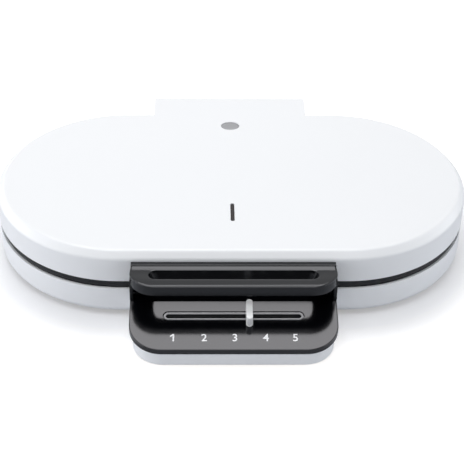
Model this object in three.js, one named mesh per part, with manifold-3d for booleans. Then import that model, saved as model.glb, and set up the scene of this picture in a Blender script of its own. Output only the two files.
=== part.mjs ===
import * as THREE from 'three';
import { mergeVertices } from 'three/addons/utils/BufferGeometryUtils.js';
import Module from 'manifold-3d';

const wasm = await Module();
wasm.setup();

// Driving dimensions, in millimetres. X is the machine's width, Y points to its back, Z is up.
// The origin is on the table, under the middle of the whole machine.
const halfLength = 230;
const halfDepth = 124.5;
const ovalY = 24;
const endX = halfLength - halfDepth;
const wall = 2.5;
const gap = 0.3;

// Heights above the table.
const baseBottomZ = 5;
const floorZ = baseBottomZ + wall;
const baseRimZ = 34.2;
const partingZ = 38.4;
const lidSkirtZ = 42.6;
const shoulderZ = 68;
const lidTopZ = 74.8;
const ceilingZ = lidTopZ - wall;

// Lid shell, its hinge cover, badge and lamp window.
const bevelInset = 6.1;
const tabHalfWidth = 80;
const tabFrontY = ovalY + 90;
const tabRearY = 176;
const badgeY = 120.3;
const badgeLength = 18.7;
const badgeWidth = 14.9;
const badgeThickness = 0.5;
const badgeSeatDepth = 0.9;
const lampY = -34.5;
const lampWidth = 3.8;
const lampLength = 29.3;
const lampThickness = 2;
const lampTopDrop = 0.4;
const lampCaseHalfWidth = 6;
const lampCaseHalfLength = 18;
const lampCaseWall = 2;

// Base shell and the control tub in front of it.
const baseInset = 0.5;
const bottomRound = 7;
const tubHalfWidth = 93.2;
const tubRearY = ovalY - 60;
const tubFrontY = -175.5;
const tubCorner = 28;
const wirePassHalf = 25;
const ventX = 120;
const ventHalfLength = 22;
const ventHalfWidth = 1.5;
const ventPitch = 12;
const ventRows = 4;

// Black control cover: a level ledge, then a panel that slopes to the front.
const coverHalfWidth = 95.2;
const coverFrontY = -176;
const coverRearY = -100.8;
const coverCorner = 30;
const coverEdge = 5;
const panelRearY = -120.2;
const panelTilt = THREE.MathUtils.degToRad(10);

// Slider slot in the panel's own plane: distance in front of the panel's rear edge.
const slotCentre = 16.6;
const rimLength = 129.4;
const rimWidth = 10.5;
const slotLength = 124;
const slotWidth = 4.8;
const knobX = 14.2;
const knobWidth = 6.4;
const knobLength = 24;
const knobHeight = 12;
const knobCentre = 18.2;
const knobClearance = 0.6;
const knobLensRadius = 1.5;
const knobLensStretch = 3.05;
const stemHalfWidth = 2.5;
const stemHalfDepth = 1.2;
const stemTop = 6;

// Slide potentiometer, board and relay under the panel, as width, depth and height.
const potSize = [132, 10, 7];
const potTrack = [124, 3.6, 4];
const boardSize = [144, 44, 1.6];
const relaySize = [28, 12, 8];
const relayPlace = [-40, -14];

// Handle on the lid: a level strip, a thin groove, then a grip whose top is dished round its slot.
const handleHalfWidth = 95.2;
const handleFrontY = -137.3;
const handleUnderZ = 54.4;
const handleCorner = 24;
const handlePlate = 3.5;
const stripZ = 65.6;
const grooveRearY = -106.7;
const grooveFrontY = -107.2;
const grooveZ = 64;
const dish = [
  [-107.2, 65.6],
  [-109.5, 65.15],
  [-112, 64.85],
  [-115, 64.85],
  [-119, 65.05],
  [-123, 65.35],
  [-127, 65.6],
  [-131, 65.65],
  [-135, 65.5],
  [-139, 65.1],
];
const gripSlotHalf = 78;
const gripSlotRearY = -111.8;
const gripSlotFrontY = -125.7;
const cheekThickness = 3;
const cheekFrontY = -119.5;
const cheekBottomZ = 36;

// Cooking plates: two round moulds, each of five hearts.
const mouldX = 108;
const plateInset = 2.3;
const flangeThickness = 3.75;
const trayRadius = 103;
const trayDepth = 9;
const heartDepth = 5.6;
const ridgeDrop = 2.4;
const ridgeRadius = 67;
const lobeReach = 72;
const lobeRadius = 22;
const ridgeHalf = 1.5;
const studPitch = 19;
const studSize = 10;
const firstStud = 29;
const heartsPerMould = 5;

// Heating elements, shields and the screws that hold the plates.
const elementRadius = 66;
const elementOpening = 0.3;
const elementEndX = 16;
const elementEndReach = 20;
const tubeRadius = 3;
const shieldInset = 6;
const shieldThickness = 1;
const lowerShieldZ = 20.6;
const upperShieldZ = 54.6;
const plateScrews = [[0, ovalY - 90], [0, ovalY + 90], [-213, ovalY], [213, ovalY]];
const postRadius = 5;
const boltRadius = 2;
const boltHeadRoom = 2.1;
const lowerBoltLength = 23;
const upperBoltLength = 27;
const lowerHeadDepth = 3.2;
const upperHeadDepth = 3;

// Thermal fuse on each plate, and the sensor under the lower one.
const fuseY = ovalY + 20;
const fuseHalfWidth = 9;
const fuseHalfDepth = 5;
const fuseStrap = 1.2;
const fuseHeight = 6;
const sensorY = ovalY - 24;
const sensorFlange = 6;
const sensorRadius = 3;

// Hinge line behind the base, at the height of the lower plate.
const hingeY = 160;
const hingeZ = 36;
const hingeX = 61;
const knuckleRadius = 7;
const knuckleHalf = 4.7;
const earOuter = 11;
const earInner = 5;
const pinRadius = 2.5;
const pinHalf = 12;
const blockBottomZ = 18;
const blockTopZ = 33;
const blockThickness = 3.4;
const wallRearY = ovalY + halfDepth - baseInset + gap;
const armHalfDepth = 6.5;
const armFrontY = 126;
const armBottomZ = 66;
const armTopZ = 69.5;
const armPadHalf = 6;
const armPadRearY = 150;

// Lead through the hinge, and the mains inlet.
const leadX = -14;
const leadZ = 14;
const leadRadius = 3;
const glandX = -92;
const glandZ = 18;
const glandRadius = 6;
const terminalX = [-88, -48];
const terminalY = [112, 128];
const terminalPitch = 12;

// Feet and the screws of the small parts.
const feet = [[-68, -148], [68, -148], [-130, 125], [130, 125]];
const footRadius = 10;
const footBossTopZ = 14;
const screwRadius = 1.5;
const screwHeadRoom = 2.2;
const shortScrew = 9;
const coverScrewLength = 23;
const coverScrewX = 80;
const coverScrewY = -110;
const coverHeadDepth = 3;
const handleScrewX = 60;
const handleScrewZ = 60;

const white = { color: 0xeceef2, roughness: 0.3, metalness: 0 };
const glossBlack = { color: 0x16171a, roughness: 0.18, metalness: 0 };
const mattBlack = { color: 0x101113, roughness: 0.6, metalness: 0 };
const coating = { color: 0x26272a, roughness: 0.45, metalness: 0.3 };
const steel = { color: 0xb4b6b8, roughness: 0.35, metalness: 1 };
const aluminium = { color: 0xc8cacc, roughness: 0.4, metalness: 1 };
const rubber = { color: 0x202122, roughness: 0.85, metalness: 0 };
const greyTrim = { color: 0x6e7075, roughness: 0.3, metalness: 0 };
const smoked = { color: 0x1a1416, roughness: 0.15, metalness: 0 };
const boardGreen = { color: 0x1f5a38, roughness: 0.6, metalness: 0 };
const ceramic = { color: 0xd8d4c8, roughness: 0.7, metalness: 0 };

const machine = new THREE.Group();

// Adds a named piece to the machine, or to a group that is turned with the panel.
function piece(name, geometry, finish, parent = machine) {
  const mesh = new THREE.Mesh(geometry, new THREE.MeshStandardMaterial(finish));
  mesh.name = name;
  parent.add(mesh);
  return mesh;
}

// A closed geometry as a solid for cutting and joining, its faces turned outwards.
function solid(geometry) {
  const bare = geometry.clone();
  bare.deleteAttribute('normal');
  bare.deleteAttribute('uv');
  const merged = mergeVertices(bare, 1e-4);
  const points = merged.attributes.position;
  const corners = merged.index.array;
  const a = new THREE.Vector3();
  const b = new THREE.Vector3();
  const c = new THREE.Vector3();
  const kept = [];
  let volume = 0;
  for (let i = 0; i < corners.length; i += 3) {
    const [p, q, r] = [corners[i], corners[i + 1], corners[i + 2]];
    if (p === q || q === r || r === p) {
      continue;
    }
    a.fromBufferAttribute(points, p);
    b.fromBufferAttribute(points, q);
    c.fromBufferAttribute(points, r);
    volume += a.dot(b.cross(c));
    kept.push(p, q, r);
  }
  if (volume < 0) {
    kept.reverse();
  }
  return new wasm.Manifold(new wasm.Mesh({
    numProp: 3,
    vertProperties: new Float32Array(points.array),
    triVerts: new Uint32Array(kept),
  }));
}

// A finished solid as a geometry.
function geometryOf(body) {
  const mesh = body.getMesh();
  const geometry = new THREE.BufferGeometry();
  geometry.setAttribute('position', new THREE.BufferAttribute(new Float32Array(mesh.vertProperties), 3));
  geometry.setIndex(new THREE.BufferAttribute(new Uint32Array(mesh.triVerts), 1));
  geometry.computeVertexNormals();
  return geometry;
}

function box([x0, x1], [y0, y1], [z0, z1]) {
  const geometry = new THREE.BoxGeometry(x1 - x0, y1 - y0, z1 - z0);
  geometry.translate((x0 + x1) / 2, (y0 + y1) / 2, (z0 + z1) / 2);
  return solid(geometry);
}

// An upright cylinder between two heights.
function post(x, y, radius, z0, z1, sides = 10) {
  const geometry = new THREE.CylinderGeometry(radius, radius, z1 - z0, sides);
  geometry.rotateX(Math.PI / 2);
  geometry.translate(x, y, (z0 + z1) / 2);
  return solid(geometry);
}

// A cylinder that lies along X, on the line through y and z.
function crossRod(x0, x1, y, z, radius, sides = 16) {
  const geometry = new THREE.CylinderGeometry(radius, radius, x1 - x0, sides);
  geometry.rotateZ(Math.PI / 2);
  geometry.translate((x0 + x1) / 2, y, z);
  return solid(geometry);
}

// A cylinder that lies along Y.
function deepRod(x, y0, y1, z, radius, sides = 16) {
  const geometry = new THREE.CylinderGeometry(radius, radius, y1 - y0, sides);
  geometry.translate(x, (y0 + y1) / 2, z);
  return solid(geometry);
}

// A flat outline raised from one height to another.
function prism(outline, z0, z1, curveSegments = 8) {
  const depth = z1 - z0;
  const geometry = new THREE.ExtrudeGeometry(outline, { depth, bevelEnabled: false, curveSegments });
  geometry.translate(0, 0, z0);
  return solid(geometry);
}

// A side view, drawn as [y, z] points, drawn out along X.
function sideSolid(points, x0, x1) {
  const outline = new THREE.Shape(points.map(([y, z]) => new THREE.Vector2(y, z)));
  const geometry = new THREE.ExtrudeGeometry(outline, { depth: x1 - x0, bevelEnabled: false });
  const turn = new THREE.Matrix4().makeBasis(
    new THREE.Vector3(0, 1, 0),
    new THREE.Vector3(0, 0, 1),
    new THREE.Vector3(1, 0, 0),
  );
  geometry.applyMatrix4(turn);
  geometry.translate(x0, 0, 0);
  return solid(geometry);
}

// A solid with the machine's oval plan. The profile lists [inset from the outline, height] upwards.
function ovalSolid(profile) {
  const edge = profile.map(([inset, z]) => [halfDepth - inset, z]);
  const bottom = edge[0][1];
  const top = edge.at(-1)[1];
  const round = [[0, bottom], ...edge, [0, top]].map(([r, z]) => new THREE.Vector2(r, z));
  const left = new THREE.LatheGeometry(round, 36);
  left.rotateX(Math.PI / 2);
  const right = left.clone();
  left.translate(-endX, ovalY, 0);
  right.translate(endX, ovalY, 0);
  const front = edge.map(([r, z]) => [ovalY - r, z]);
  const rear = edge.map(([r, z]) => [ovalY + r, z]).reverse();
  const middle = sideSolid([...front, ...rear], -endX, endX);
  return middle.add(solid(left)).add(solid(right));
}

// A flat slot or tongue with round ends, long in X.
function pill(length, width, x = 0, y = 0) {
  const r = width / 2;
  const half = length / 2 - r;
  const outline = new THREE.Shape();
  outline.absarc(x + half, y, r, -Math.PI / 2, Math.PI / 2, false);
  outline.absarc(x - half, y, r, Math.PI / 2, Math.PI * 1.5, false);
  return outline;
}

// A plan that is square at the rear and round at its two front corners.
function frontRounded(halfWidth, rearY, frontY, corner) {
  const outline = new THREE.Shape();
  outline.moveTo(-halfWidth, rearY);
  outline.lineTo(-halfWidth, frontY + corner);
  outline.absarc(-halfWidth + corner, frontY + corner, corner, Math.PI, Math.PI * 1.5, false);
  outline.lineTo(halfWidth - corner, frontY);
  outline.absarc(halfWidth - corner, frontY + corner, corner, -Math.PI / 2, 0, false);
  outline.lineTo(halfWidth, rearY);
  outline.closePath();
  return outline;
}

function latheOf(points, sides) {
  const geometry = new THREE.LatheGeometry(points.map(([r, z]) => new THREE.Vector2(r, z)), sides);
  geometry.rotateX(Math.PI / 2);
  return geometry;
}

// A pan-head screw that points up from its head, the head's underside at height 0.
function screwGeometry(shankRadius, length) {
  const headRadius = shankRadius * 1.9;
  const headHeight = shankRadius * 1.2;
  return geometryOf(solid(latheOf([
    [0, -headHeight],
    [headRadius * 0.8, -headHeight],
    [headRadius, 0],
    [shankRadius, 0],
    [shankRadius, length],
    [0, length],
  ], 7)));
}

// A round bar that follows a smooth line through the points.
function tube(points, radius, steps, sides) {
  const path = new THREE.CatmullRomCurve3(points);
  const corners = Array.from({ length: sides }, (_, i) => {
    const turn = (2 * Math.PI * i) / sides;
    return new THREE.Vector2(radius * Math.cos(turn), radius * Math.sin(turn));
  });
  const section = new THREE.Shape(corners);
  return new THREE.ExtrudeGeometry(section, { steps, extrudePath: path, bevelEnabled: false });
}

// Height of the cover's top surface above a point of the plan.
function panelZ(y) {
  return baseRimZ + Math.tan(panelTilt) * Math.min(0, y - panelRearY);
}

// Side view of everything below the cover's surface, lowered by a distance, down to a floor.
function underPanel(lower, rearY, frontY, bottomZ) {
  return [
    [rearY, bottomZ],
    [rearY, baseRimZ - lower],
    [panelRearY, baseRimZ - lower],
    [frontY, panelZ(frontY) - lower],
    [frontY, bottomZ],
  ];
}

// The badge's oval plan, grown all round.
function badgeOutline(grow) {
  const outline = new THREE.Shape();
  outline.absellipse(0, badgeY, badgeLength / 2 + grow, badgeWidth / 2 + grow, 0, Math.PI * 2, false, 0);
  return outline;
}

// The oval lid and its hinge cover, hollow, open below.
function lidShell() {
  const outside = ovalSolid([[0, lidSkirtZ], [0, shoulderZ], [bevelInset, lidTopZ]]);
  const inside = ovalSolid([[wall, lidSkirtZ - 1], [wall, shoulderZ - 1], [bevelInset + 1.6, ceilingZ]]);
  const tab = box([-tabHalfWidth, tabHalfWidth], [tabFrontY, tabRearY], [lidSkirtZ, lidTopZ]);
  const tabInside = box(
    [-tabHalfWidth + wall, tabHalfWidth - wall],
    [tabFrontY - 10, tabRearY - wall],
    [lidSkirtZ - 1, ceilingZ],
  );
  let shell = outside.add(tab).subtract(inside).subtract(tabInside);
  for (const [x, y] of plateScrews) {
    const column = post(x, y, postRadius, upperShieldZ + shieldThickness + gap, ceilingZ + 0.5);
    shell = shell.add(column).subtract(post(x, y, boltRadius + gap, upperShieldZ, ceilingZ - 3, 8));
  }
  for (const side of [-1, 1]) {
    const x = side * hingeX;
    const padSpan = [armFrontY, armPadRearY];
    shell = shell.add(box([x - armPadHalf, x + armPadHalf], padSpan, [armTopZ + gap, ceilingZ + 0.5]));
    shell = shell.subtract(deepRod(side * handleScrewX, -110, -90, handleScrewZ, screwRadius + gap, 12));
  }
  const lampHole = pill(lampLength, lampWidth);
  const badgeSeat = badgeOutline(gap);
  const turned = new THREE.ExtrudeGeometry(lampHole, { depth: 10, bevelEnabled: false, curveSegments: 6 });
  turned.rotateZ(Math.PI / 2);
  turned.translate(0, lampY, lidTopZ - 6);
  shell = shell.subtract(solid(turned));
  return shell.subtract(prism(badgeSeat, lidTopZ - badgeSeatDepth, lidTopZ + 1, 20));
}

// The white base: an oval tray with the control tub in front, closed below and open above.
function baseShell() {
  const arc = [0, 1, 2].map((step) => {
    const turn = (Math.PI / 2) * (step / 3);
    const inwards = bottomRound * (1 - Math.sin(turn));
    return [baseInset + inwards, baseBottomZ + bottomRound * (1 - Math.cos(turn))];
  });
  const outside = ovalSolid([...arc, [baseInset, baseBottomZ + bottomRound], [baseInset, baseRimZ]]);
  const inside = ovalSolid([
    [baseInset + wall + bottomRound * 0.6, floorZ],
    [baseInset + wall, floorZ + bottomRound * 0.8],
    [baseInset + wall, baseRimZ + 1],
  ]);
  const tubPlan = prism(frontRounded(tubHalfWidth, tubRearY, tubFrontY, tubCorner), 0, 60);
  const tubSide = sideSolid(underPanel(coverEdge + gap, tubRearY, tubFrontY - 1, baseBottomZ), -120, 120);
  const roomPlan = prism(
    frontRounded(tubHalfWidth - wall, coverRearY - 1, tubFrontY + wall, tubCorner - wall),
    floorZ,
    60,
  );
  let shell = outside.add(tubPlan.intersect(tubSide)).subtract(inside).subtract(roomPlan);
  const wirePassY = [coverRearY - 2, coverRearY + 8];
  shell = shell.subtract(box([-wirePassHalf, wirePassHalf], wirePassY, [floorZ + 4, floorZ + 14]));
  for (const [x, y] of plateScrews) {
    shell = shell.add(post(x, y, postRadius + 1, floorZ - 0.5, lowerShieldZ - gap));
    shell = shell.subtract(post(x, y, boltRadius + gap, 0, 40, 8));
    shell = shell.subtract(post(x, y, boltRadius * boltHeadRoom, 0, baseBottomZ + lowerHeadDepth));
  }
  for (const [x, y] of feet) {
    shell = shell.add(post(x, y, postRadius, floorZ - 0.5, footBossTopZ));
    shell = shell.subtract(post(x, y, screwRadius + gap, 0, footBossTopZ - 1.5, 8));
  }
  for (const side of [-1, 1]) {
    const x = side * coverScrewX;
    shell = shell.add(post(x, coverScrewY, postRadius, floorZ - 0.5, baseRimZ - coverEdge - gap));
    shell = shell.subtract(post(x, coverScrewY, screwRadius + gap, 0, 40, 8));
    const headRoom = post(x, coverScrewY, screwRadius * screwHeadRoom, 0, baseBottomZ + coverHeadDepth);
    shell = shell.subtract(headRoom);
    const ventSpan = [side * ventX - ventHalfLength, side * ventX + ventHalfLength];
    for (let row = 0; row < ventRows; row += 1) {
      const y = ovalY + (row - (ventRows - 1) / 2) * ventPitch;
      shell = shell.subtract(box(ventSpan, [y - ventHalfWidth, y + ventHalfWidth], [0, floorZ + 1]));
    }
  }
  const rearWall = [ovalY + halfDepth - 8, ovalY + halfDepth + 1];
  shell = shell.subtract(deepRod(leadX, ...rearWall, leadZ, leadRadius + 1, 16));
  return shell.subtract(deepRod(glandX, ...rearWall, glandZ, glandRadius + gap, 20));
}

// One heart of the mould, its point at the middle and its two lobes outwards, along +X.
function heartOutline() {
  const slant = Math.PI / heartsPerMould;
  const lobeTurn = slant - Math.asin((lobeRadius + ridgeHalf) / lobeReach);
  const lobe = new THREE.Vector2(lobeReach * Math.cos(lobeTurn), lobeReach * Math.sin(lobeTurn));
  const start = slant + Math.PI / 2;
  const notch = -Math.acos(Math.sqrt(1 - (lobe.y / lobeRadius) ** 2));
  const tip = ridgeHalf / Math.sin(slant);
  const outline = new THREE.Shape();
  outline.moveTo(tip + 3, 0);
  outline.lineTo(tip + 6, -6 * Math.tan(slant));
  outline.absarc(lobe.x, -lobe.y, lobeRadius, -start, -notch, false);
  outline.absarc(lobe.x, lobe.y, lobeRadius, notch, start, false);
  outline.lineTo(tip + 6, 6 * Math.tan(slant));
  outline.closePath();
  return { outline, lobe, slant, tip };
}

// True where a stud stands wholly inside one heart, clear of its wall.
function studFits(x, y, heart) {
  const reach = studSize / 2 + 2;
  const side = Math.abs(y) + reach;
  const besideRidge = (x - reach - heart.tip) * Math.tan(heart.slant) > side;
  const toLobe = Math.hypot(x + reach - heart.lobe.x, side - heart.lobe.y);
  const innerLobe = Math.hypot(x + reach - heart.lobe.x, Math.abs(y) - reach - heart.lobe.y);
  const beforeLobe = x + reach < heart.lobe.x;
  const insideLobe = Math.max(toLobe, innerLobe) < lobeRadius;
  return (beforeLobe && besideRidge) || (insideLobe && x + reach > heart.lobe.x);
}

// A cooking plate with its face at height 0 and its body below. Turned over, it is the upper one.
function plateBody() {
  const heart = heartOutline();
  let plate = ovalSolid([[plateInset, -flangeThickness], [plateInset, 0]]);
  for (const side of [-1, 1]) {
    plate = plate.add(post(side * mouldX, ovalY, trayRadius, -trayDepth, 0, 24));
  }
  for (const side of [-1, 1]) {
    plate = plate.subtract(post(side * mouldX, ovalY, ridgeRadius, -ridgeDrop, 1, 20));
    for (let i = 0; i < heartsPerMould; i += 1) {
      const turn = Math.PI / 2 + (2 * Math.PI * i) / heartsPerMould;
      const place = new THREE.Matrix4().makeRotationZ(turn).setPosition(side * mouldX, ovalY, 0);
      const hollow = new THREE.ExtrudeGeometry(heart.outline, {
        depth: heartDepth + 1,
        bevelEnabled: false,
        curveSegments: 5,
      });
      hollow.translate(0, 0, -heartDepth);
      hollow.applyMatrix4(place);
      plate = plate.subtract(solid(hollow));
      plate = plate.add(studs(heart, place));
    }
  }
  return plate;
}

// The raised pads of one heart, in rows across its axis.
function studs(heart, place) {
  const bodies = [];
  for (let row = 0; firstStud + row * studPitch < lobeReach + lobeRadius; row += 1) {
    for (let column = -2; column <= 2; column += 1) {
      const x = firstStud + row * studPitch;
      const y = column * studPitch;
      if (!studFits(x, y, heart)) {
        continue;
      }
      const foot = -heartDepth - 0.5;
      const stud = new THREE.BoxGeometry(studSize, studSize, -ridgeDrop - foot);
      stud.translate(x, y, (foot - ridgeDrop) / 2);
      stud.applyMatrix4(place);
      bodies.push(solid(stud));
    }
  }
  return bodies.reduce((all, stud) => all.add(stud));
}

// The round tubular element under one mould, open at the back where its ends turn out.
function elementGeometry(x, z) {
  const points = [];
  const bends = 16;
  const endY = ovalY + elementRadius + elementEndReach;
  points.push(new THREE.Vector3(x + elementEndX, endY, z));
  for (let i = 0; i <= bends; i += 1) {
    const turn = Math.PI / 2 - elementOpening - (2 * (Math.PI - elementOpening) * i) / bends;
    points.push(new THREE.Vector3(
      x + elementRadius * Math.cos(turn),
      ovalY + elementRadius * Math.sin(turn),
      z,
    ));
  }
  points.push(new THREE.Vector3(x - elementEndX, endY, z));
  return tube(points, tubeRadius, 22, 6);
}

// A sheet that keeps the heat off the shell, with holes for the plate's screws.
function shieldBody(z) {
  let shield = ovalSolid([[shieldInset, z], [shieldInset, z + shieldThickness]]);
  for (const [x, y] of plateScrews) {
    shield = shield.subtract(post(x, y, boltRadius + 2 * gap, z - 1, z + 3, 8));
  }
  return shield;
}

// Cooking plates, elements, shields, fuses and their screws.
const plate = plateBody();
const lowerFaceZ = partingZ - gap / 2;
const upperFaceZ = partingZ + gap / 2;
const lowerGeometry = geometryOf(plate);
lowerGeometry.translate(0, 0, lowerFaceZ);
const upperGeometry = geometryOf(plate);
upperGeometry.scale(1, 1, -1);
upperGeometry.translate(0, 0, upperFaceZ);
const lowerTrayZ = lowerFaceZ - trayDepth;
const upperTrayZ = upperFaceZ + trayDepth;
let lowerPlate = solid(lowerGeometry);
let upperPlate = solid(upperGeometry);
for (const [x, y] of plateScrews) {
  const lowerRoot = lowerFaceZ - 2;
  lowerPlate = lowerPlate.add(post(x, y, postRadius, lowerShieldZ + shieldThickness + gap, lowerRoot));
  lowerPlate = lowerPlate.subtract(post(x, y, boltRadius + gap, 0, lowerRoot - 2, 8));
  upperPlate = upperPlate.add(post(x, y, postRadius, upperFaceZ + 2, upperShieldZ - gap));
  upperPlate = upperPlate.subtract(post(x, y, boltRadius + gap, 0, 60, 8));
  upperPlate = upperPlate.subtract(post(x, y, boltRadius * boltHeadRoom, 0, upperFaceZ + upperHeadDepth));
}
piece('lower_cooking_plate', geometryOf(lowerPlate), coating);
piece('upper_cooking_plate', geometryOf(upperPlate), coating);
for (const [name, side] of [['left', -1], ['right', 1]]) {
  const x = side * mouldX;
  piece(`lower_element_${name}`, elementGeometry(x, lowerTrayZ - gap - tubeRadius), steel);
  piece(`upper_element_${name}`, elementGeometry(x, upperTrayZ + gap + tubeRadius), steel);
}
piece('lower_heat_shield', geometryOf(shieldBody(lowerShieldZ)), aluminium);
piece('upper_heat_shield', geometryOf(shieldBody(upperShieldZ)), aluminium);
plateScrews.forEach(([x, y], i) => {
  const lower = piece(`lower_plate_screw_${i + 1}`, screwGeometry(boltRadius, lowerBoltLength), steel);
  lower.position.set(x, y, baseBottomZ + lowerHeadDepth - gap);
  const upper = piece(`upper_plate_screw_${i + 1}`, screwGeometry(boltRadius, upperBoltLength), steel);
  upper.position.set(x, y, upperFaceZ + upperHeadDepth - gap);
});

// Small parts on the plates: a fuse on each, and the sensor under the lower one.
function fuseBody(z) {
  const span = [fuseY - fuseHalfDepth, fuseY + fuseHalfDepth];
  const strap = box([-fuseHalfWidth, fuseHalfWidth], span, [z, z + fuseStrap]);
  return strap.add(deepRod(0, ...span, z + fuseHeight / 2, fuseHeight / 2, 12));
}
const underPlateZ = lowerShieldZ + shieldThickness + gap;
piece('lower_thermal_fuse', geometryOf(fuseBody(underPlateZ)), ceramic);
piece('upper_thermal_fuse', geometryOf(fuseBody(upperTrayZ + gap)), ceramic);
const sensor = post(0, sensorY, sensorFlange, underPlateZ, underPlateZ + 3, 16)
  .add(post(0, sensorY, sensorRadius, underPlateZ, lowerFaceZ - flangeThickness - gap, 12));
piece('temperature_sensor', geometryOf(sensor), steel);

// Lid shell with its lamp and badge.
piece('lid_shell', geometryOf(lidShell()), white);
const lens = new THREE.ExtrudeGeometry(pill(lampLength - 2 * gap, lampWidth - 2 * gap), {
  depth: lampThickness,
  bevelEnabled: false,
  curveSegments: 6,
});
lens.rotateZ(Math.PI / 2);
piece('lamp_window', geometryOf(solid(lens)), smoked)
  .position.set(0, lampY, lidTopZ - lampTopDrop - lampThickness);
// The lamp's box, drawn in by a distance for its hollow.
function lampBox(inset, bottomZ, topZ) {
  const halfWidth = lampCaseHalfWidth - inset;
  const halfLength = lampCaseHalfLength - inset;
  return box([-halfWidth, halfWidth], [lampY - halfLength, lampY + halfLength], [bottomZ, topZ]);
}
const lampCaseZ = upperShieldZ + 4;
const lampCase = lampBox(0, lampCaseZ, ceilingZ - gap)
  .subtract(lampBox(lampCaseWall, lampCaseZ + lampCaseWall, ceilingZ + 1));
piece('lamp_holder', geometryOf(lampCase), mattBlack);
const badgeBottomZ = lidTopZ - badgeSeatDepth + gap;
const badge = prism(badgeOutline(0), badgeBottomZ, badgeBottomZ + badgeThickness, 20);
piece('badge_plate', geometryOf(badge), aluminium);

// Handle: the grip with its long open slot, a back plate on the lid's skirt, and a cheek at each end.
function handleBody() {
  const backY = coverRearY;
  const plan = frontRounded(handleHalfWidth, backY, handleFrontY, handleCorner);
  const sideView = [
    [backY, handleUnderZ],
    [backY, stripZ],
    [grooveRearY, stripZ],
    [grooveRearY, grooveZ],
    [grooveFrontY, grooveZ],
    ...dish,
    [dish.at(-1)[0], handleUnderZ],
  ];
  const grip = prism(plan, handleUnderZ - 1, stripZ + 1)
    .intersect(sideSolid(sideView, -handleHalfWidth - 1, handleHalfWidth + 1));
  const backSpan = [-handleHalfWidth, handleHalfWidth];
  const back = box(backSpan, [backY - handlePlate, backY], [lidSkirtZ + gap, stripZ]);
  const slotY = (gripSlotRearY + gripSlotFrontY) / 2;
  const slot = prism(pill(2 * gripSlotHalf, gripSlotRearY - gripSlotFrontY, 0, slotY), 0, 100);
  let handle = grip.add(back).subtract(slot);
  for (const side of [-1, 1]) {
    const cheekX = side * (handleHalfWidth - cheekThickness / 2);
    const cheekSpan = [cheekX - cheekThickness / 2, cheekX + cheekThickness / 2];
    handle = handle.add(box(cheekSpan, [cheekFrontY, backY], [cheekBottomZ, handleUnderZ + 1]));
    const x = side * handleScrewX;
    handle = handle.add(deepRod(x, backY - 8, backY - 1, handleScrewZ, 3.8, 12));
    handle = handle.subtract(deepRod(x, backY - 7, backY + 1, handleScrewZ, screwRadius + gap, 12));
  }
  return handle;
}
piece('lid_handle', geometryOf(handleBody()), glossBlack);
for (const [name, side] of [['left', -1], ['right', 1]]) {
  const screw = piece(`handle_screw_${name}`, screwGeometry(screwRadius, shortScrew), steel);
  screw.rotation.x = Math.PI / 2;
  screw.position.set(side * handleScrewX, ovalY - halfDepth + wall + gap, handleScrewZ);
}

// Base shell with its control cover.
piece('base_shell', geometryOf(baseShell()), white);
function coverBody() {
  const plan = prism(frontRounded(coverHalfWidth, coverRearY, coverFrontY, coverCorner), 0, 60);
  const surface = sideSolid(underPanel(0, coverRearY, coverFrontY - 1, 0), -120, 120);
  const below = sideSolid(underPanel(coverEdge, coverRearY + 1, coverFrontY - 2, -1), -121, 121);
  const roomPlan = prism(
    frontRounded(coverHalfWidth - wall, coverRearY - wall, coverFrontY + wall, coverCorner - wall),
    0,
    60,
  );
  const room = roomPlan.intersect(sideSolid(underPanel(wall, coverRearY, coverFrontY, 0), -120, 120));
  let cover = plan.intersect(surface).subtract(below).subtract(room);
  for (const side of [-1, 1]) {
    const x = side * coverScrewX;
    cover = cover.add(post(x, coverScrewY, 4, baseRimZ - coverEdge, baseRimZ - wall + 0.5, 12));
    cover = cover.subtract(post(x, coverScrewY, screwRadius + gap, 0, baseRimZ - 1.2, 8));
  }
  const rim = new THREE.ExtrudeGeometry(pill(rimLength, rimWidth, 0, -slotCentre), {
    depth: 20,
    bevelEnabled: false,
    curveSegments: 8,
  });
  rim.translate(0, 0, -10);
  rim.rotateX(panelTilt);
  rim.translate(0, panelRearY, baseRimZ);
  return cover.subtract(solid(rim));
}
piece('control_cover', geometryOf(coverBody()), glossBlack);

// Everything that lies in the plane of the panel: -Y runs down the slope, Z stands off the surface.
const panel = new THREE.Group();
panel.position.set(0, panelRearY, baseRimZ);
panel.rotation.x = panelTilt;
machine.add(panel);

const bezel = prism(pill(rimLength - 2 * gap, rimWidth - 2 * gap, 0, -slotCentre), -2.5, -gap)
  .subtract(prism(pill(slotLength, slotWidth, 0, -slotCentre), -5, 5));
piece('slot_bezel', geometryOf(bezel), greyTrim, panel);
// A box of the given width, depth and height along the slot, hung from a level.
function alongSlot([width, depth, height], top, above = 0) {
  return box(
    [-width / 2, width / 2],
    [-slotCentre - depth / 2, -slotCentre + depth / 2],
    [top - height, top + above],
  );
}
const potTop = -wall - 2 * gap;
const potBody = alongSlot(potSize, potTop).subtract(alongSlot(potTrack, potTop, 1));
piece('slide_potentiometer', geometryOf(potBody), mattBlack, panel);
const boardTop = potTop - potSize[2] - gap;
const relayTop = boardTop - boardSize[2] - gap;
piece('control_board', new THREE.BoxGeometry(...boardSize), boardGreen, panel)
  .position.set(0, -26, boardTop - boardSize[2] / 2);
piece('power_relay', new THREE.BoxGeometry(...relaySize), mattBlack, panel)
  .position.set(...relayPlace, relayTop - relaySize[2] / 2);

// The slider: a white knob on a steel stem, with a small oval lens in its front end.
const slider = new THREE.Group();
slider.position.set(knobX, 0, 0);
panel.add(slider);
const knobPlan = new THREE.Shape();
const knobEnd = knobLength / 2 - knobWidth / 2;
knobPlan.absarc(0, -knobCentre + knobEnd, knobWidth / 2, 0, Math.PI, false);
knobPlan.absarc(0, -knobCentre - knobEnd, knobWidth / 2, Math.PI, 2 * Math.PI, false);
const lensY = -knobCentre - knobLength / 2;
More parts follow.
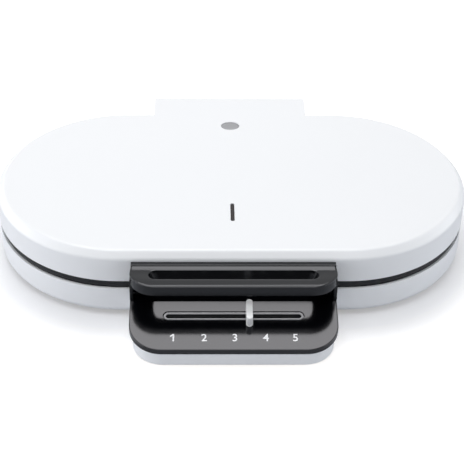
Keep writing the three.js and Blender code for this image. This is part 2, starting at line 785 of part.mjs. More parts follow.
// The lens as an upright oval bar through the knob's front end, grown all round.
function lensBar(grow) {
  const geometry = new THREE.CylinderGeometry(knobLensRadius + grow, knobLensRadius + grow, 3, 16);
  geometry.scale(1, 1, knobLensStretch);
  geometry.translate(0, lensY, knobHeight * 0.55);
  return solid(geometry);
}
// The stem, grown all round for its seat in the knob.
function stemBar(grow, bottom) {
  return box(
    [-stemHalfWidth - grow, stemHalfWidth + grow],
    [-slotCentre - stemHalfDepth - grow, -slotCentre + stemHalfDepth + grow],
    [bottom, stemTop + grow],
  );
}
const knob = prism(knobPlan, knobClearance, knobHeight, 8)
  .subtract(stemBar(gap, 0))
  .subtract(lensBar(gap));
piece('slider_knob', geometryOf(knob), white, slider);
const lensFront = box([-4, 4], [lensY - 0.1, lensY + 3], [0, knobHeight]);
const lensBack = box([-4, 4], [lensY + 0.6, lensY + 1.2], [0, knobHeight]);
piece('knob_lens', geometryOf(lensBar(0).intersect(lensFront).intersect(lensBack)), greyTrim, slider);
piece('slider_stem', geometryOf(stemBar(0, potTop - 3.5)), steel, slider);
for (const [name, side] of [['left', -1], ['right', 1]]) {
  const screw = piece(`cover_screw_${name}`, screwGeometry(screwRadius, coverScrewLength), steel);
  screw.position.set(side * coverScrewX, coverScrewY, baseBottomZ + coverHeadDepth - gap);
}

// Hinge: a block with two ears on the base, an arm on the lid between them, and a steel pin.
for (const [name, side] of [['left', -1], ['right', 1]]) {
  const x = side * hingeX;
  const earProfile = [
    [wallRearY, blockBottomZ],
    [wallRearY + 5, blockBottomZ],
    [hingeY + 5, hingeZ - 5.5],
    [hingeY, hingeZ + knuckleRadius],
    [wallRearY, hingeZ + 3],
  ];
  let block = box(
    [x - earOuter, x + earOuter],
    [wallRearY, wallRearY + blockThickness],
    [blockBottomZ, blockTopZ],
  );
  for (const ear of [-1, 1]) {
    const ends = [x + ear * earInner, x + ear * earOuter].sort((p, q) => p - q);
    block = block.add(sideSolid(earProfile, ...ends));
    block = block.add(crossRod(...ends, hingeY, hingeZ, knuckleRadius, 14));
  }
  block = block.subtract(crossRod(x - 20, x + 20, hingeY, hingeZ, pinRadius + gap, 12));
  piece(`hinge_block_${name}`, geometryOf(block), mattBlack);
  const pin = crossRod(x - pinHalf, x + pinHalf, hingeY, hingeZ, pinRadius, 12);
  piece(`hinge_pin_${name}`, geometryOf(pin), steel);
  const armProfile = [
    [hingeY - armHalfDepth, hingeZ],
    [hingeY + armHalfDepth, hingeZ],
    [hingeY + armHalfDepth, armTopZ],
    [armFrontY, armTopZ],
    [armFrontY, armBottomZ],
    [hingeY - armHalfDepth, armBottomZ],
  ];
  const arm = sideSolid(armProfile, x - knuckleHalf, x + knuckleHalf)
    .add(crossRod(x - knuckleHalf, x + knuckleHalf, hingeY, hingeZ, knuckleRadius, 14))
    .subtract(crossRod(x - 20, x + 20, hingeY, hingeZ, pinRadius + gap, 12));
  piece(`lid_hinge_arm_${name}`, geometryOf(arm), mattBlack);
}

// The lid's lead crosses on the hinge line, where it twists: one sleeve on the base, one in the lid.
const baseLead = [
  [leadX, 136, leadZ],
  [leadX, 150, leadZ],
  [leadX, 158, leadZ + 6],
  [leadX, hingeY, hingeZ - 8],
  [leadX + 8, hingeY, hingeZ],
  [-gap, hingeY, hingeZ],
];
const lidLead = [
  [gap, hingeY, hingeZ],
  [-leadX - 8, hingeY, hingeZ],
  [-leadX - 3, hingeY, hingeZ + 3],
  [-leadX, hingeY - 2, hingeZ + 12],
  [-leadX, hingeY - 2, 56],
  [-leadX, 150, 62],
  [-leadX, 132, 62],
];
for (const [name, route] of [['base', baseLead], ['lid', lidLead]]) {
  const points = route.map(([x, y, z]) => new THREE.Vector3(x, y, z));
  piece(`lead_sleeve_${name}`, geometryOf(solid(tube(points, leadRadius, 16, 6))), mattBlack);
}

// Mains inlet: a gland in the rear wall and the terminal block behind it.
const glandNeck = 3.4 + gap;
const gland = latheOf([
  [3.6, 0],
  [glandRadius, 0],
  [glandRadius, glandNeck],
  [glandRadius + 3, glandNeck],
  [glandRadius + 3, 6],
  [glandRadius + 1, 8.5],
  [3.6, 8.5],
  [3.6, 0],
], 14);
gland.rotateX(-Math.PI / 2);
piece('cord_gland', geometryOf(solid(gland)), mattBlack)
  .position.set(glandX, wallRearY - glandNeck, glandZ);
let terminals = box(terminalX, terminalY, [floorZ + gap, floorZ + 6]);
for (const way of [-1, 0, 1]) {
  const x = (terminalX[0] + terminalX[1]) / 2 + way * terminalPitch;
  const y = (terminalY[0] + terminalY[1]) / 2;
  terminals = terminals.add(post(x, y, 4.5, floorZ + 5, floorZ + 11, 12));
}
piece('terminal_block', geometryOf(terminals), mattBlack);

// Rubber feet, each held by its own screw.
feet.forEach(([x, y], i) => {
  const foot = latheOf([
    [screwRadius + gap, 2.6],
    [screwRadius * 2.3, 2.6],
    [screwRadius * 2.3, 0],
    [footRadius - 1, 0],
    [footRadius, 1],
    [footRadius - 1, baseBottomZ - gap],
    [screwRadius + gap, baseBottomZ - gap],
    [screwRadius + gap, 2.6],
  ], 14);
  piece(`rubber_foot_${i + 1}`, geometryOf(solid(foot)), rubber).position.set(x, y, 0);
  piece(`foot_screw_${i + 1}`, screwGeometry(screwRadius, shortScrew), steel).position.set(x, y, 2.6 - gap);
});

export default machine;
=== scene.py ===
import math

import bmesh
import bpy
from mathutils import Matrix, Vector


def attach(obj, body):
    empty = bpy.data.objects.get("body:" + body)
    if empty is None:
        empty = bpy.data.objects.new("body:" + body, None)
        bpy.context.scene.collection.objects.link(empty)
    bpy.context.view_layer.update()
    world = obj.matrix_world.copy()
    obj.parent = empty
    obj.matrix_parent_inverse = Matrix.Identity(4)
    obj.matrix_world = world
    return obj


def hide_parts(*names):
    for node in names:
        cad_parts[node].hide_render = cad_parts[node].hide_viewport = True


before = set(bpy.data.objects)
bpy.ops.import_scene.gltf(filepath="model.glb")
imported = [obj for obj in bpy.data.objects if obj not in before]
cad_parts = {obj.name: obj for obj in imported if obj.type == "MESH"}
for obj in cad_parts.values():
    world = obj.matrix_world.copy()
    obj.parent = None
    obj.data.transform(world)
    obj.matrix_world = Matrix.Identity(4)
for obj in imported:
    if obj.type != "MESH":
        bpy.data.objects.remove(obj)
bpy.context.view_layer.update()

scene = bpy.context.scene
millimetre = 0.001
near = 0.01    # lengths closer than this, in millimetres, count as the same
weld = 0.001   # points closer than this become one
print("frame loaded:", len(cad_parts), "nodes")

# the machine's own sizes in millimetres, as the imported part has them
machine = {
    "halfLength": 230.0,
    "halfDepth": 124.5,
    "ovalY": 24.0,
    "endX": 105.5,
    "wall": 2.5,
    "baseBottomZ": 5.0,
    "floorZ": 7.5,
    "baseRimZ": 34.2,
    "partingZ": 38.4,
    "lidSkirtZ": 42.6,
    "shoulderZ": 68.0,
    "lidTopZ": 74.8,
    "ceilingZ": 72.3,
    "panelRearY": -120.2,
    "panelTilt": math.radians(10),
    "hingeY": 160.0,
    "hingeZ": 36.0,
    "hingeX": 61.0,
    "plateScrews": [(0, -66), (0, 114), (-213, 24), (213, 24)],
}


# helpers that shape a mesh, all in millimetres until a piece is placed

def shift(bm, x, y, z):
    bmesh.ops.translate(bm, vec=(x, y, z), verts=bm.verts)


def stretch(bm, x, y, z):
    bmesh.ops.scale(bm, vec=(x, y, z), verts=bm.verts)


def roundOff(bm, parts, radius, steps, affect, clamp):
    bmesh.ops.bevel(bm, geom=parts, offset=radius, offset_type="OFFSET", segments=steps,
                    profile=0.5, affect=affect, clamp_overlap=clamp, material=-1)


# a flat face, square or round at its rear and front corners
def planFace(halfWide, rear, front, height, rearRound=0, frontRound=0, steps=16):
    bm = bmesh.new()
    bmesh.ops.create_grid(bm, x_segments=1, y_segments=1, size=1)
    stretch(bm, halfWide, (rear - front) / 2, 1)
    shift(bm, 0, (rear + front) / 2, height)
    for level, radius in ((rear, rearRound), (front, frontRound)):
        if radius:
            corners = [v for v in bm.verts
                       if abs(v.co.y - level) < near and abs(abs(v.co.x) - halfWide) < near]
            roundOff(bm, corners, radius, steps, "VERTICES", False)
    bmesh.ops.remove_doubles(bm, verts=bm.verts, dist=near)
    return bm


# the machine's own oval, drawn in by a distance
def ovalFace(inset, height, steps=32):
    y = machine["ovalY"]
    r = machine["halfDepth"] - inset
    return planFace(machine["halfLength"] - inset, y + r, y - r, height, r, r, steps)


# a flat pill, centred on a line along X
def pill(length, width, centre, height, steps=12):
    return planFace(length / 2, centre + width / 2, centre - width / 2, height,
                    width / 2, width / 2, steps)


def vertsOf(made):
    return [e for e in made if isinstance(e, bmesh.types.BMVert)]


def lift(bm, faces, rise):
    made = bmesh.ops.extrude_face_region(bm, geom=list(faces))["geom"]
    bmesh.ops.translate(bm, vec=(0, 0, rise), verts=vertsOf(made))
    return [e for e in made if isinstance(e, bmesh.types.BMFace)]


# draws a face in and moves it up or down, step by step, which leaves sloping bands round it
def drawIn(bm, faces, *steps):
    for inset, rise in steps:
        bmesh.ops.inset_region(bm, faces=list(faces), thickness=inset, depth=0,
                               use_even_offset=True, use_boundary=True)
        bmesh.ops.translate(bm, vec=(0, 0, rise), verts=list({v for f in faces for v in f.verts}))
    return list(faces)


def edgesWhere(bm, test):
    return [e for e in bm.edges if all(test(v.co) for v in e.verts)]


def edgesAt(bm, level):
    return edgesWhere(bm, lambda p: abs(p.z - level) < near)


# the edges where a flat top, or a flat underside, meets its walls, all but those at the rear
def rimEdges(bm, rear, up=1):
    found = []
    for e in bm.edges:
        if len(e.link_faces) == 2 and min(v.co.y for v in e.verts) < rear - 0.1:
            slopes = [f.normal.z * up for f in e.link_faces]
            if max(slopes) > 0.9 and min(abs(slope) for slope in slopes) < 0.5:
                found.append(e)
    return found


def soften(bm, edges, radius, steps=3):
    roundOff(bm, list(edges), radius, steps, "EDGES", True)


def sliceAt(bm, y):
    bmesh.ops.bisect_plane(bm, geom=bm.verts[:] + bm.edges[:] + bm.faces[:], dist=weld,
                           plane_co=(0, y, 0), plane_no=(0, 1, 0))


# a turned shape from a side view of [radius, height], about the upright line through x and y
def turned(profile, x=0, y=0, steps=32):
    bm = bmesh.new()
    points = [bm.verts.new((r, 0, z)) for r, z in profile]
    edges = [bm.edges.new(pair) for pair in zip(points, points[1:])]
    bmesh.ops.spin(bm, geom=points + edges, cent=(0, 0, 0), axis=(0, 0, 1), angle=math.tau,
                   steps=steps, use_merge=True)
    bmesh.ops.remove_doubles(bm, verts=bm.verts, dist=weld)
    shift(bm, x, y, 0)
    return bm


# a bar along X from a side view of [y, z]
def sideBar(points, x0, x1):
    bm = bmesh.new()
    face = bm.faces.new([bm.verts.new((x0, y, z)) for y, z in points])
    made = bmesh.ops.extrude_face_region(bm, geom=[face])["geom"]
    bmesh.ops.translate(bm, vec=(x1 - x0, 0, 0), verts=vertsOf(made))
    return bm


def block(x0, x1, y0, y1, z0, z1):
    bm = bmesh.new()
    bmesh.ops.create_cube(bm, size=1)
    stretch(bm, x1 - x0, y1 - y0, z1 - z0)
    shift(bm, (x0 + x1) / 2, (y0 + y1) / 2, (z0 + z1) / 2)
    return bm


def cone(lower, upper, high, steps, place):
    bm = bmesh.new()
    bmesh.ops.create_cone(bm, cap_ends=True, segments=steps, radius1=lower, radius2=upper,
                          depth=high, matrix=place)
    return bm


def post(x, y, radius, z0, z1, steps=24):
    return cone(radius, radius, z1 - z0, steps, Matrix.Translation((x, y, (z0 + z1) / 2)))


# a round bar along X or Y
def rod(start, end, radius, steps=24):
    a, b = Vector(start), Vector(end)
    turn = (b - a).to_track_quat("Z", "Y").to_matrix().to_4x4()
    return cone(radius, radius, (b - a).length, steps, Matrix.Translation((a + b) / 2) @ turn)


# the place of a shape that was drawn flat and is laid on the sloping panel
def panelPlace():
    tilt = Matrix.Rotation(machine["panelTilt"], 4, "X")
    return Matrix.Translation((0, machine["panelRearY"], machine["baseRimZ"])) @ tilt


def ontoPanel(bm):
    bmesh.ops.transform(bm, matrix=panelPlace(), verts=bm.verts)
    return bm


def panelHeight(y):
    forward = min(0, y - machine["panelRearY"])
    return machine["baseRimZ"] + math.tan(machine["panelTilt"]) * forward


# helpers that make, cut and place objects

def newObject(name, data):
    thing = bpy.data.objects.new(name, data)
    scene.collection.objects.link(thing)
    return thing


def fromShape(bm, name):
    mesh = bpy.data.meshes.new(name)
    bm.to_mesh(mesh)
    bm.free()
    return newObject(name, mesh)


def workPiece(bm):
    bmesh.ops.remove_doubles(bm, verts=bm.verts, dist=weld)
    bmesh.ops.recalc_face_normals(bm, faces=bm.faces)
    return fromShape(bm, "work")


# cuts shapes away from a piece, or joins them to it
def joinUp(thing, shapes, how="DIFFERENCE"):
    tools = [workPiece(shape) for shape in shapes]
    for tool in tools:
        change = thing.modifiers.new("joinUp", "BOOLEAN")
        change.operation = how
        change.solver = "EXACT"
        change.object = tool
    graph = bpy.context.evaluated_depsgraph_get()
    thing.data = bpy.data.meshes.new_from_object(thing.evaluated_get(graph), depsgraph=graph)
    thing.modifiers.clear()
    for tool in tools:
        bpy.data.objects.remove(tool)
    return thing


# puts several bmeshes that don't touch into one
def gather(parts):
    whole = bmesh.new()
    for part in parts:
        spare = bpy.data.meshes.new("spare")
        part.to_mesh(spare)
        part.free()
        whole.from_mesh(spare)
        bpy.data.meshes.remove(spare)
    return whole


# the plain mesh of a text or a curve, whose object goes
def plainMesh(data):
    thing = newObject("line", data)
    graph = bpy.context.evaluated_depsgraph_get()
    mesh = bpy.data.meshes.new_from_object(thing.evaluated_get(graph))
    bpy.data.objects.remove(thing)
    return mesh


def placePiece(thing, name, body, look, stands=(), edge=0, steps=2, smooth=35):
    thing.data.transform(Matrix.Scale(millimetre, 4))
    thing.name = name
    thing.data.name = name
    thing.data.materials.clear()
    thing.data.materials.append(looks[look])
    thing.data.shade_smooth()
    if edge:
        rounding = thing.modifiers.new("softEdge", "BEVEL")
        rounding.width = edge * millimetre
        rounding.segments = steps
        rounding.limit_method = "ANGLE"
        rounding.angle_limit = math.radians(28)
        rounding.use_clamp_overlap = True
    else:
        thing.data.set_sharp_from_angle(angle=math.radians(smooth))
    even = thing.modifiers.new("evenShade", "WEIGHTED_NORMAL")
    even.keep_sharp = True
    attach(thing, body)
    if stands:
        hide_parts(*stands)


# finishes, and the three effects that they share

effects = {
    "cloudDetail": 4,
    "mottleScale": 160,
    "mottleDetail": 3,
    "wearStart": 0.995,
    "wearFull": 0.93,
    "wearWidth": 0.0005,
    "wearScale": 220,
    "wearDetail": 5,
    "wearBreak": (0.42, 0.62),
    "grainDetail": 3,
}


# a shader node with its settings, and values for its open sockets by name or number
def addNode(tree, kind, values=None, **settings):
    node = tree.nodes.new("ShaderNode" + kind)
    for label, value in settings.items():
        setattr(node, label, value)
    for socket, value in (values or {}).items():
        node.inputs[socket].default_value = value
    return node


def connect(tree, *wires):
    for fromNode, fromSocket, toNode, toSocket in wires:
        tree.links.new(fromNode.outputs[fromSocket], toNode.inputs[toSocket])


def newGroup(name, inputs, outputs):
    group = bpy.data.node_groups.new(name, "ShaderNodeTree")
    for label, kind, value in inputs:
        socket = group.interface.new_socket(name=label, in_out="INPUT",
                                            socket_type="NodeSocket" + kind)
        socket.default_value = value
    for label, kind in outputs:
        group.interface.new_socket(name=label, in_out="OUTPUT", socket_type="NodeSocket" + kind)
    return group, group.nodes.new("NodeGroupInput"), group.nodes.new("NodeGroupOutput")


# cloudy change of tone and gloss over a moulded or cast surface
def makeToneGroup():
    group, given, result = newGroup("surfaceTone", [
        ("Colour", "Color", (0.8, 0.8, 0.8, 1)),
        ("Spread", "Float", 0.04),
        ("Patch Size", "Float", 14.0),
        ("Roughness", "Float", 0.4),
        ("Roughness Spread", "Float", 0.05),
    ], [("Colour", "Color"), ("Roughness", "Float")])
    place = addNode(group, "TexCoord")
    cloud = addNode(group, "TexNoise", {"Detail": effects["cloudDetail"]})
    mottle = addNode(group, "TexNoise", {"Scale": effects["mottleScale"],
                                         "Detail": effects["mottleDetail"]})
    centre = addNode(group, "Math", {1: 0.5}, operation="SUBTRACT")
    amount = addNode(group, "Math", {2: 1}, operation="MULTIPLY_ADD")
    tone = addNode(group, "Mix", {"Factor": 1}, data_type="RGBA", blend_type="MULTIPLY",
                   clamp_result=False)
    both = addNode(group, "Math", operation="ADD")
    level = addNode(group, "Math", {1: 1}, operation="SUBTRACT")
    rough = addNode(group, "Math", operation="MULTIPLY_ADD")
    connect(group, (place, "Object", cloud, "Vector"),
            (place, "Object", mottle, "Vector"),
            (given, "Patch Size", cloud, "Scale"),
            (cloud, "Fac", centre, 0),
            (centre, 0, amount, 0),
            (given, "Spread", amount, 1),
            (given, "Colour", tone, "A"),
            (amount, 0, tone, "B"),
            (tone, "Result", result, "Colour"),
            (cloud, "Fac", both, 0),
            (mottle, "Fac", both, 1),
            (both, 0, level, 0),
            (level, 0, rough, 0),
            (given, "Roughness Spread", rough, 1),
            (given, "Roughness", rough, 2),
            (rough, 0, result, "Roughness"))
    return group


# wear on the outer edges: where a rounded normal leaves the true one, broken up by noise
def makeWearGroup():
    group, given, result = newGroup("edgeWear", [
        ("Colour", "Color", (0.8, 0.8, 0.8, 1)),
        ("Worn Colour", "Color", (0.8, 0.8, 0.8, 1)),
        ("Amount", "Float", 0.3),
    ], [("Colour", "Color")])
    rounded = addNode(group, "Bevel", {"Radius": effects["wearWidth"]}, samples=4)
    true = addNode(group, "NewGeometry")
    meet = addNode(group, "VectorMath", operation="DOT_PRODUCT")
    spread = addNode(group, "MapRange", {"From Min": effects["wearStart"],
                                         "From Max": effects["wearFull"]})
    place = addNode(group, "TexCoord")
    breakUp = addNode(group, "TexNoise", {"Scale": effects["wearScale"],
                                          "Detail": effects["wearDetail"]})
    sharpen = addNode(group, "MapRange", {"From Min": effects["wearBreak"][0],
                                          "From Max": effects["wearBreak"][1]})
    both = addNode(group, "Math", operation="MULTIPLY")
    mask = addNode(group, "Math", operation="MULTIPLY")
    tint = addNode(group, "Mix", data_type="RGBA")
    connect(group, (rounded, "Normal", meet, 0),
            (true, "Normal", meet, 1),
            (meet, "Value", spread, "Value"),
            (place, "Object", breakUp, "Vector"),
            (breakUp, "Fac", sharpen, "Value"),
            (spread, "Result", both, 0),
            (sharpen, "Result", both, 1),
            (both, 0, mask, 0),
            (given, "Amount", mask, 1),
            (mask, 0, tint, "Factor"),
            (given, "Colour", tint, "A"),
            (given, "Worn Colour", tint, "B"),
            (tint, "Result", result, "Colour"))
    return group


# fine relief of a moulded, sprayed or brushed surface; Stretch pulls it out along one axis
def makeGrainGroup():
    group, given, result = newGroup("fineGrain", [
        ("Scale", "Float", 900.0),
        ("Stretch", "Vector", (1, 1, 1)),
        ("Strength", "Float", 0.1),
        ("Depth", "Float", 0.0001),
    ], [("Normal", "Vector")])
    place = addNode(group, "TexCoord")
    pull = addNode(group, "VectorMath", operation="MULTIPLY")
    grain = addNode(group, "TexNoise", {"Detail": effects["grainDetail"]})
    relief = addNode(group, "Bump")
    connect(group, (place, "Object", pull, 0),
            (given, "Stretch", pull, 1),
            (pull, "Vector", grain, "Vector"),
            (given, "Scale", grain, "Scale"),
            (given, "Strength", relief, "Strength"),
            (given, "Depth", relief, "Distance"),
            (grain, "Fac", relief, "Height"),
            (relief, "Normal", result, "Normal"))
    return group


toneGroup = makeToneGroup()
wearGroup = makeWearGroup()
grainGroup = makeGrainGroup()

# what a finish has where it names nothing else
plainFinish = {
    "spread": 0.05,
    "patch": 14.0,
    "roughnessSpread": 0.06,
    "wear": 0.3,
    "grain": 900.0,
    "stretch": (1, 1, 1),
    "relief": 0.08,
    "reliefDepth": 0.0001,
    "metal": 0,
    "specular": 0.5,
    "tint": (1, 1, 1),
}


def makeFinish(name, special):
    look = {**plainFinish, **special}
    finish = bpy.data.materials.new(name)
    finish.use_nodes = True
    tree = finish.node_tree
    shader = tree.nodes["Principled BSDF"]
    tone = addNode(tree, "Group", node_tree=toneGroup, values={
        "Colour": (*look["colour"], 1),
        "Spread": look["spread"],
        "Patch Size": look["patch"],
        "Roughness": look["roughness"],
        "Roughness Spread": look["roughnessSpread"],
    })
    wear = addNode(tree, "Group", node_tree=wearGroup, values={
        "Worn Colour": (*look.get("worn", look["colour"]), 1),
        "Amount": look["wear"],
    })
    grain = addNode(tree, "Group", node_tree=grainGroup, values={
        "Scale": look["grain"],
        "Stretch": look["stretch"],
        "Strength": look["relief"],
        "Depth": look["reliefDepth"],
    })
    connect(tree, (tone, "Colour", wear, "Colour"),
            (wear, "Colour", shader, "Base Color"),
            (tone, "Roughness", shader, "Roughness"),
            (grain, "Normal", shader, "Normal"))
    shader.inputs["Metallic"].default_value = look["metal"]
    shader.inputs["Specular IOR Level"].default_value = look["specular"]
    shader.inputs["Specular Tint"].default_value = (*look["tint"], 1)
    return finish


finishes = {
    "whiteShell": dict(colour=(0.86, 0.868, 0.885), roughness=0.3, spread=0.012, patch=6,
        worn=(0.78, 0.775, 0.76), wear=0.25, grain=1400, relief=0.03),
    # the knob's own white plastic, set brighter than the shell's white: painted light that makes
    # up for the handle's shade over it
    "knobWhitePaintedLight": dict(colour=(0.985, 0.985, 0.985), roughness=0.25, spread=0.01,
        worn=(0.88, 0.87, 0.85), wear=0.2, grain=1800, relief=0.04),
    "paleLens": dict(colour=(0.88, 0.88, 0.90), roughness=0.22, spread=0.08, patch=200,
        worn=(0.7, 0.7, 0.7), grain=1800, relief=0.05),
    "glossBlack": dict(colour=(0.0012, 0.0014, 0.0022), roughness=0.12, roughnessSpread=0.03,
        spread=0.2, worn=(0.03, 0.03, 0.032), wear=0.4, grain=1600, relief=0.03,
        specular=0.49, tint=(0.95, 0.95, 1.0)),
    "handleBlack": dict(colour=(0.0022, 0.0025, 0.0036), roughness=0.17,
        roughnessSpread=0.04, spread=0.2, worn=(0.03, 0.03, 0.032), wear=0.4,
        grain=1600, relief=0.03, specular=0.40, tint=(0.93, 0.95, 1.0)),
    "mattBlack": dict(colour=(0.014, 0.0142, 0.0155), roughness=0.55, spread=0.25,
        worn=(0.05, 0.05, 0.05), wear=0.5, grain=1100, relief=0.25),
    "nonStick": dict(colour=(0.0066, 0.0073, 0.0094), roughness=0.38, roughnessSpread=0.14,
        spread=0.3, patch=22, worn=(0.10, 0.098, 0.095), wear=0.4, grain=1500,
        relief=0.22, specular=0.36),
    "elementSteel": dict(colour=(0.40, 0.36, 0.31), roughness=0.42, spread=0.35, patch=40,
        metal=1, worn=(0.5, 0.48, 0.45), grain=800, relief=0.15),
    "zincSteel": dict(colour=(0.56, 0.57, 0.58), roughness=0.36, spread=0.16, patch=120,
        metal=1, worn=(0.7, 0.7, 0.7), grain=1600, relief=0.12),
    "sheetAluminium": dict(colour=(0.72, 0.73, 0.74), roughness=0.4, spread=0.08,
        patch=20, metal=1, worn=(0.8, 0.8, 0.8), grain=700, stretch=(1, 0.06, 1),
        relief=0.15),
    "brushedBadge": dict(colour=(0.33, 0.335, 0.35), roughness=0.34, spread=0.12,
        patch=60, metal=1, worn=(0.6, 0.6, 0.6), grain=4000, stretch=(0.03, 1, 1),
        relief=0.3, reliefDepth=0.00005),
    # the bezel's grey is a painted reflection: it stands for the overhead softbox mirrored in a
    # glossy ring
    "greyPaintedReflection": dict(colour=(0.33, 0.33, 0.345), roughness=0.28, spread=0.06,
        worn=(0.45, 0.45, 0.46), wear=0.4, grain=1500, relief=0.05),
    "smokedLens": dict(colour=(0.010, 0.006, 0.007), roughness=0.12, spread=0.3, patch=90,
        worn=(0.05, 0.04, 0.04), grain=700, relief=0.06),
    "boardGreen": dict(colour=(0.03, 0.13, 0.06), roughness=0.4, spread=0.4, patch=260,
        worn=(0.3, 0.28, 0.15), grain=500, relief=0.2),
    "ceramicBody": dict(colour=(0.66, 0.63, 0.56), roughness=0.75, spread=0.12, patch=90,
        worn=(0.5, 0.48, 0.44), grain=700, relief=0.3),
    "footRubber": dict(colour=(0.022, 0.022, 0.023), roughness=0.8, spread=0.3, patch=60,
        worn=(0.06, 0.06, 0.058), wear=0.6, grain=1200, relief=0.35),
    "digitWhite": dict(colour=(0.93, 0.935, 0.95), roughness=0.45, spread=0.03, patch=200,
        wear=0, grain=2500, relief=0.1),
}
looks = {name: makeFinish(name, special) for name, special in finishes.items()}
print("finishes made:", len(looks))

# lid shell: the oval with its soft bevel, the squared hinge cover, openings for lamp and badge

lid = {
    "bevelInset": 6.1,
    "lip": 0.8,
    "shoulderRound": 1.7,
    "innerShoulderZ": 67.0,
    "innerBevel": 5.2,
    "tabHalf": 80.0,
    "tabRear": 176.0,
    "tabFront": 104.0,
    "tabCorner": 1.5,
    "tabRound": 0.7,
    "roomFront": 94.0,
    "toolPast": 2.0,
    "fit": 0.3,
    "lampY": -34.5,
    "lampWide": 3.8,
    "lampLong": 29.3,
    "lampHole": (68.8, 10.0),
    "lampUnderZ": 72.4,
    "lampRise": 1.5,
    "lampCrown": [(0.35, 0.35), (0.5, 0.12)],
    "badgeY": 120.3,
    "badgeLong": 18.7,
    "badgeWide": 14.9,
    "badgeSeat": (73.9, 75.8),
    "badgeUnderZ": 74.2,
    "badgeSide": [(0, 0), (0.985, 0), (1, 0.12), (0.985, 0.24), (0.86, 0.36), (0.84, 0.3),
                  (0, 0.42)],
}


def makeOvalBody(inset, bottom, shoulder, top, bevel):
    bm = ovalFace(inset, bottom)
    upper = lift(bm, bm.faces[:], shoulder - bottom)
    drawIn(bm, upper, (bevel, top - shoulder))
    return bm


# the lamp's outline, larger or smaller than its opening by a distance
def lampPlan(height, smaller, steps):
    half = lid["lampWide"] / 2 - smaller
    reach = lid["lampLong"] / 2
    return planFace(half, lid["lampY"] + reach - smaller, lid["lampY"] - reach + smaller, height,
                    half, half, steps)


def makeLidShell():
    m, d = machine, lid
    outer = makeOvalBody(0, m["lidSkirtZ"], m["shoulderZ"], m["lidTopZ"], d["bevelInset"])
    shoulders = edgesAt(outer, m["shoulderZ"]) + edgesAt(outer, m["lidTopZ"])
    soften(outer, shoulders, d["shoulderRound"], 4)
    soften(outer, edgesAt(outer, m["lidSkirtZ"]), d["lip"], 3)
    shell = workPiece(outer)
    tab = planFace(d["tabHalf"], d["tabRear"], d["tabFront"], m["lidSkirtZ"], d["tabCorner"], 0, 4)
    lift(tab, tab.faces[:], m["lidTopZ"] - m["lidSkirtZ"])
    soften(tab, edgesAt(tab, m["lidTopZ"]), d["tabRound"], 3)
    joinUp(shell, [tab], "UNION")
    under = m["lidSkirtZ"] - d["toolPast"]
    inner = makeOvalBody(m["wall"], under, d["innerShoulderZ"], m["ceilingZ"], d["innerBevel"])
    roomHalf = d["tabHalf"] - m["wall"]
    tabRoom = block(-roomHalf, roomHalf, d["roomFront"], d["tabRear"] - m["wall"], under,
                    m["ceilingZ"] - near)
    lampHole = lampPlan(d["lampHole"][0], 0, 8)
    lift(lampHole, lampHole.faces[:], d["lampHole"][1])
    badgeSeat = post(0, 0, 1, *d["badgeSeat"], 64)
    stretch(badgeSeat, d["badgeLong"] / 2 + d["fit"], d["badgeWide"] / 2 + d["fit"], 1)
    shift(badgeSeat, 0, d["badgeY"], 0)
    joinUp(shell, [inner, tabRoom, lampHole, badgeSeat])
    placePiece(shell, "lidShell", "lid", "whiteShell", ["lid_shell"],
               smooth=32)


def makeLampWindow():
    bm = lampPlan(lid["lampUnderZ"], lid["fit"], 10)
    drawIn(bm, lift(bm, bm.faces[:], lid["lampRise"]), *lid["lampCrown"])
    placePiece(workPiece(bm), "lampWindow", "lid", "smokedLens", ["lamp_window"],
               smooth=50)


def makeBadge():
    bm = turned(lid["badgeSide"], steps=72)
    stretch(bm, lid["badgeLong"] / 2, lid["badgeWide"] / 2, 1)
    shift(bm, 0, lid["badgeY"], lid["badgeUnderZ"])
    placePiece(workPiece(bm), "badgePlate", "lid", "brushedBadge", ["badge_plate"])


makeLidShell()
makeLampWindow()
makeBadge()
print("lid shell, lamp window and badge made")

# handle: a level strip, a groove, then a grip dished round its long open slot, and two cheeks

handle = {
    "half": 95.2,
    "rear": -100.8,
    "rearPast": 2.0,
    "front": -137.3,
    "under": 54.4,
    "corner": 24.0,
    "cornerSteps": 14,
    "dish": [(-107.2, 65.6), (-109.5, 65.15), (-112, 64.85), (-115, 64.85), (-119, 65.05),
             (-123, 65.35), (-127, 65.6), (-131, 65.65), (-135, 65.5), (-139, 65.1)],
    "edgeWide": 2.1,
    "edgeDrop": 0.53,
    "topRound": 0.7,
    "underRound": 1.8,
    "taper": 0.0105,
    "taperFrom": -117.0,
    "taperTo": -107.0,
    "stripHalf": 94.2,
    "stripZ": 65.6,
    "stripSide": [(-100.8, 42.9), (-104.3, 42.9), (-104.3, 58.4), (-106.4, 58.4), (-106.4, 65.6),
                  (-100.8, 65.6)],
    "groove": (-100, 100, -107.2, -99.8, 64.0, 80),
    "slotHalf": 78.0,
    "slotNarrow": 3.8,
    "slotRear": -111.8,
    "slotFront": -125.7,
    "slotUnder": 45.4,
    "slotHigh": 40.0,
    "rimWide": 1.9,
    "rimDrop": 0.38,
    "rimHigh": 4.0,
    "rimAbove": 0.05,
    "rimWithin": 0.1,
    "cheekThick": 3.0,
    "cheek": (-119.5, -101.0, 36.0, 57.4),
}


def dishHeight(y):
    points = handle["dish"]
    for (y0, z0), (y1, z1) in zip(points, points[1:]):
        if y >= y1:
            break
    return z0 + (z1 - z0) * (min(y, points[0][0]) - y0) / (y1 - y0)


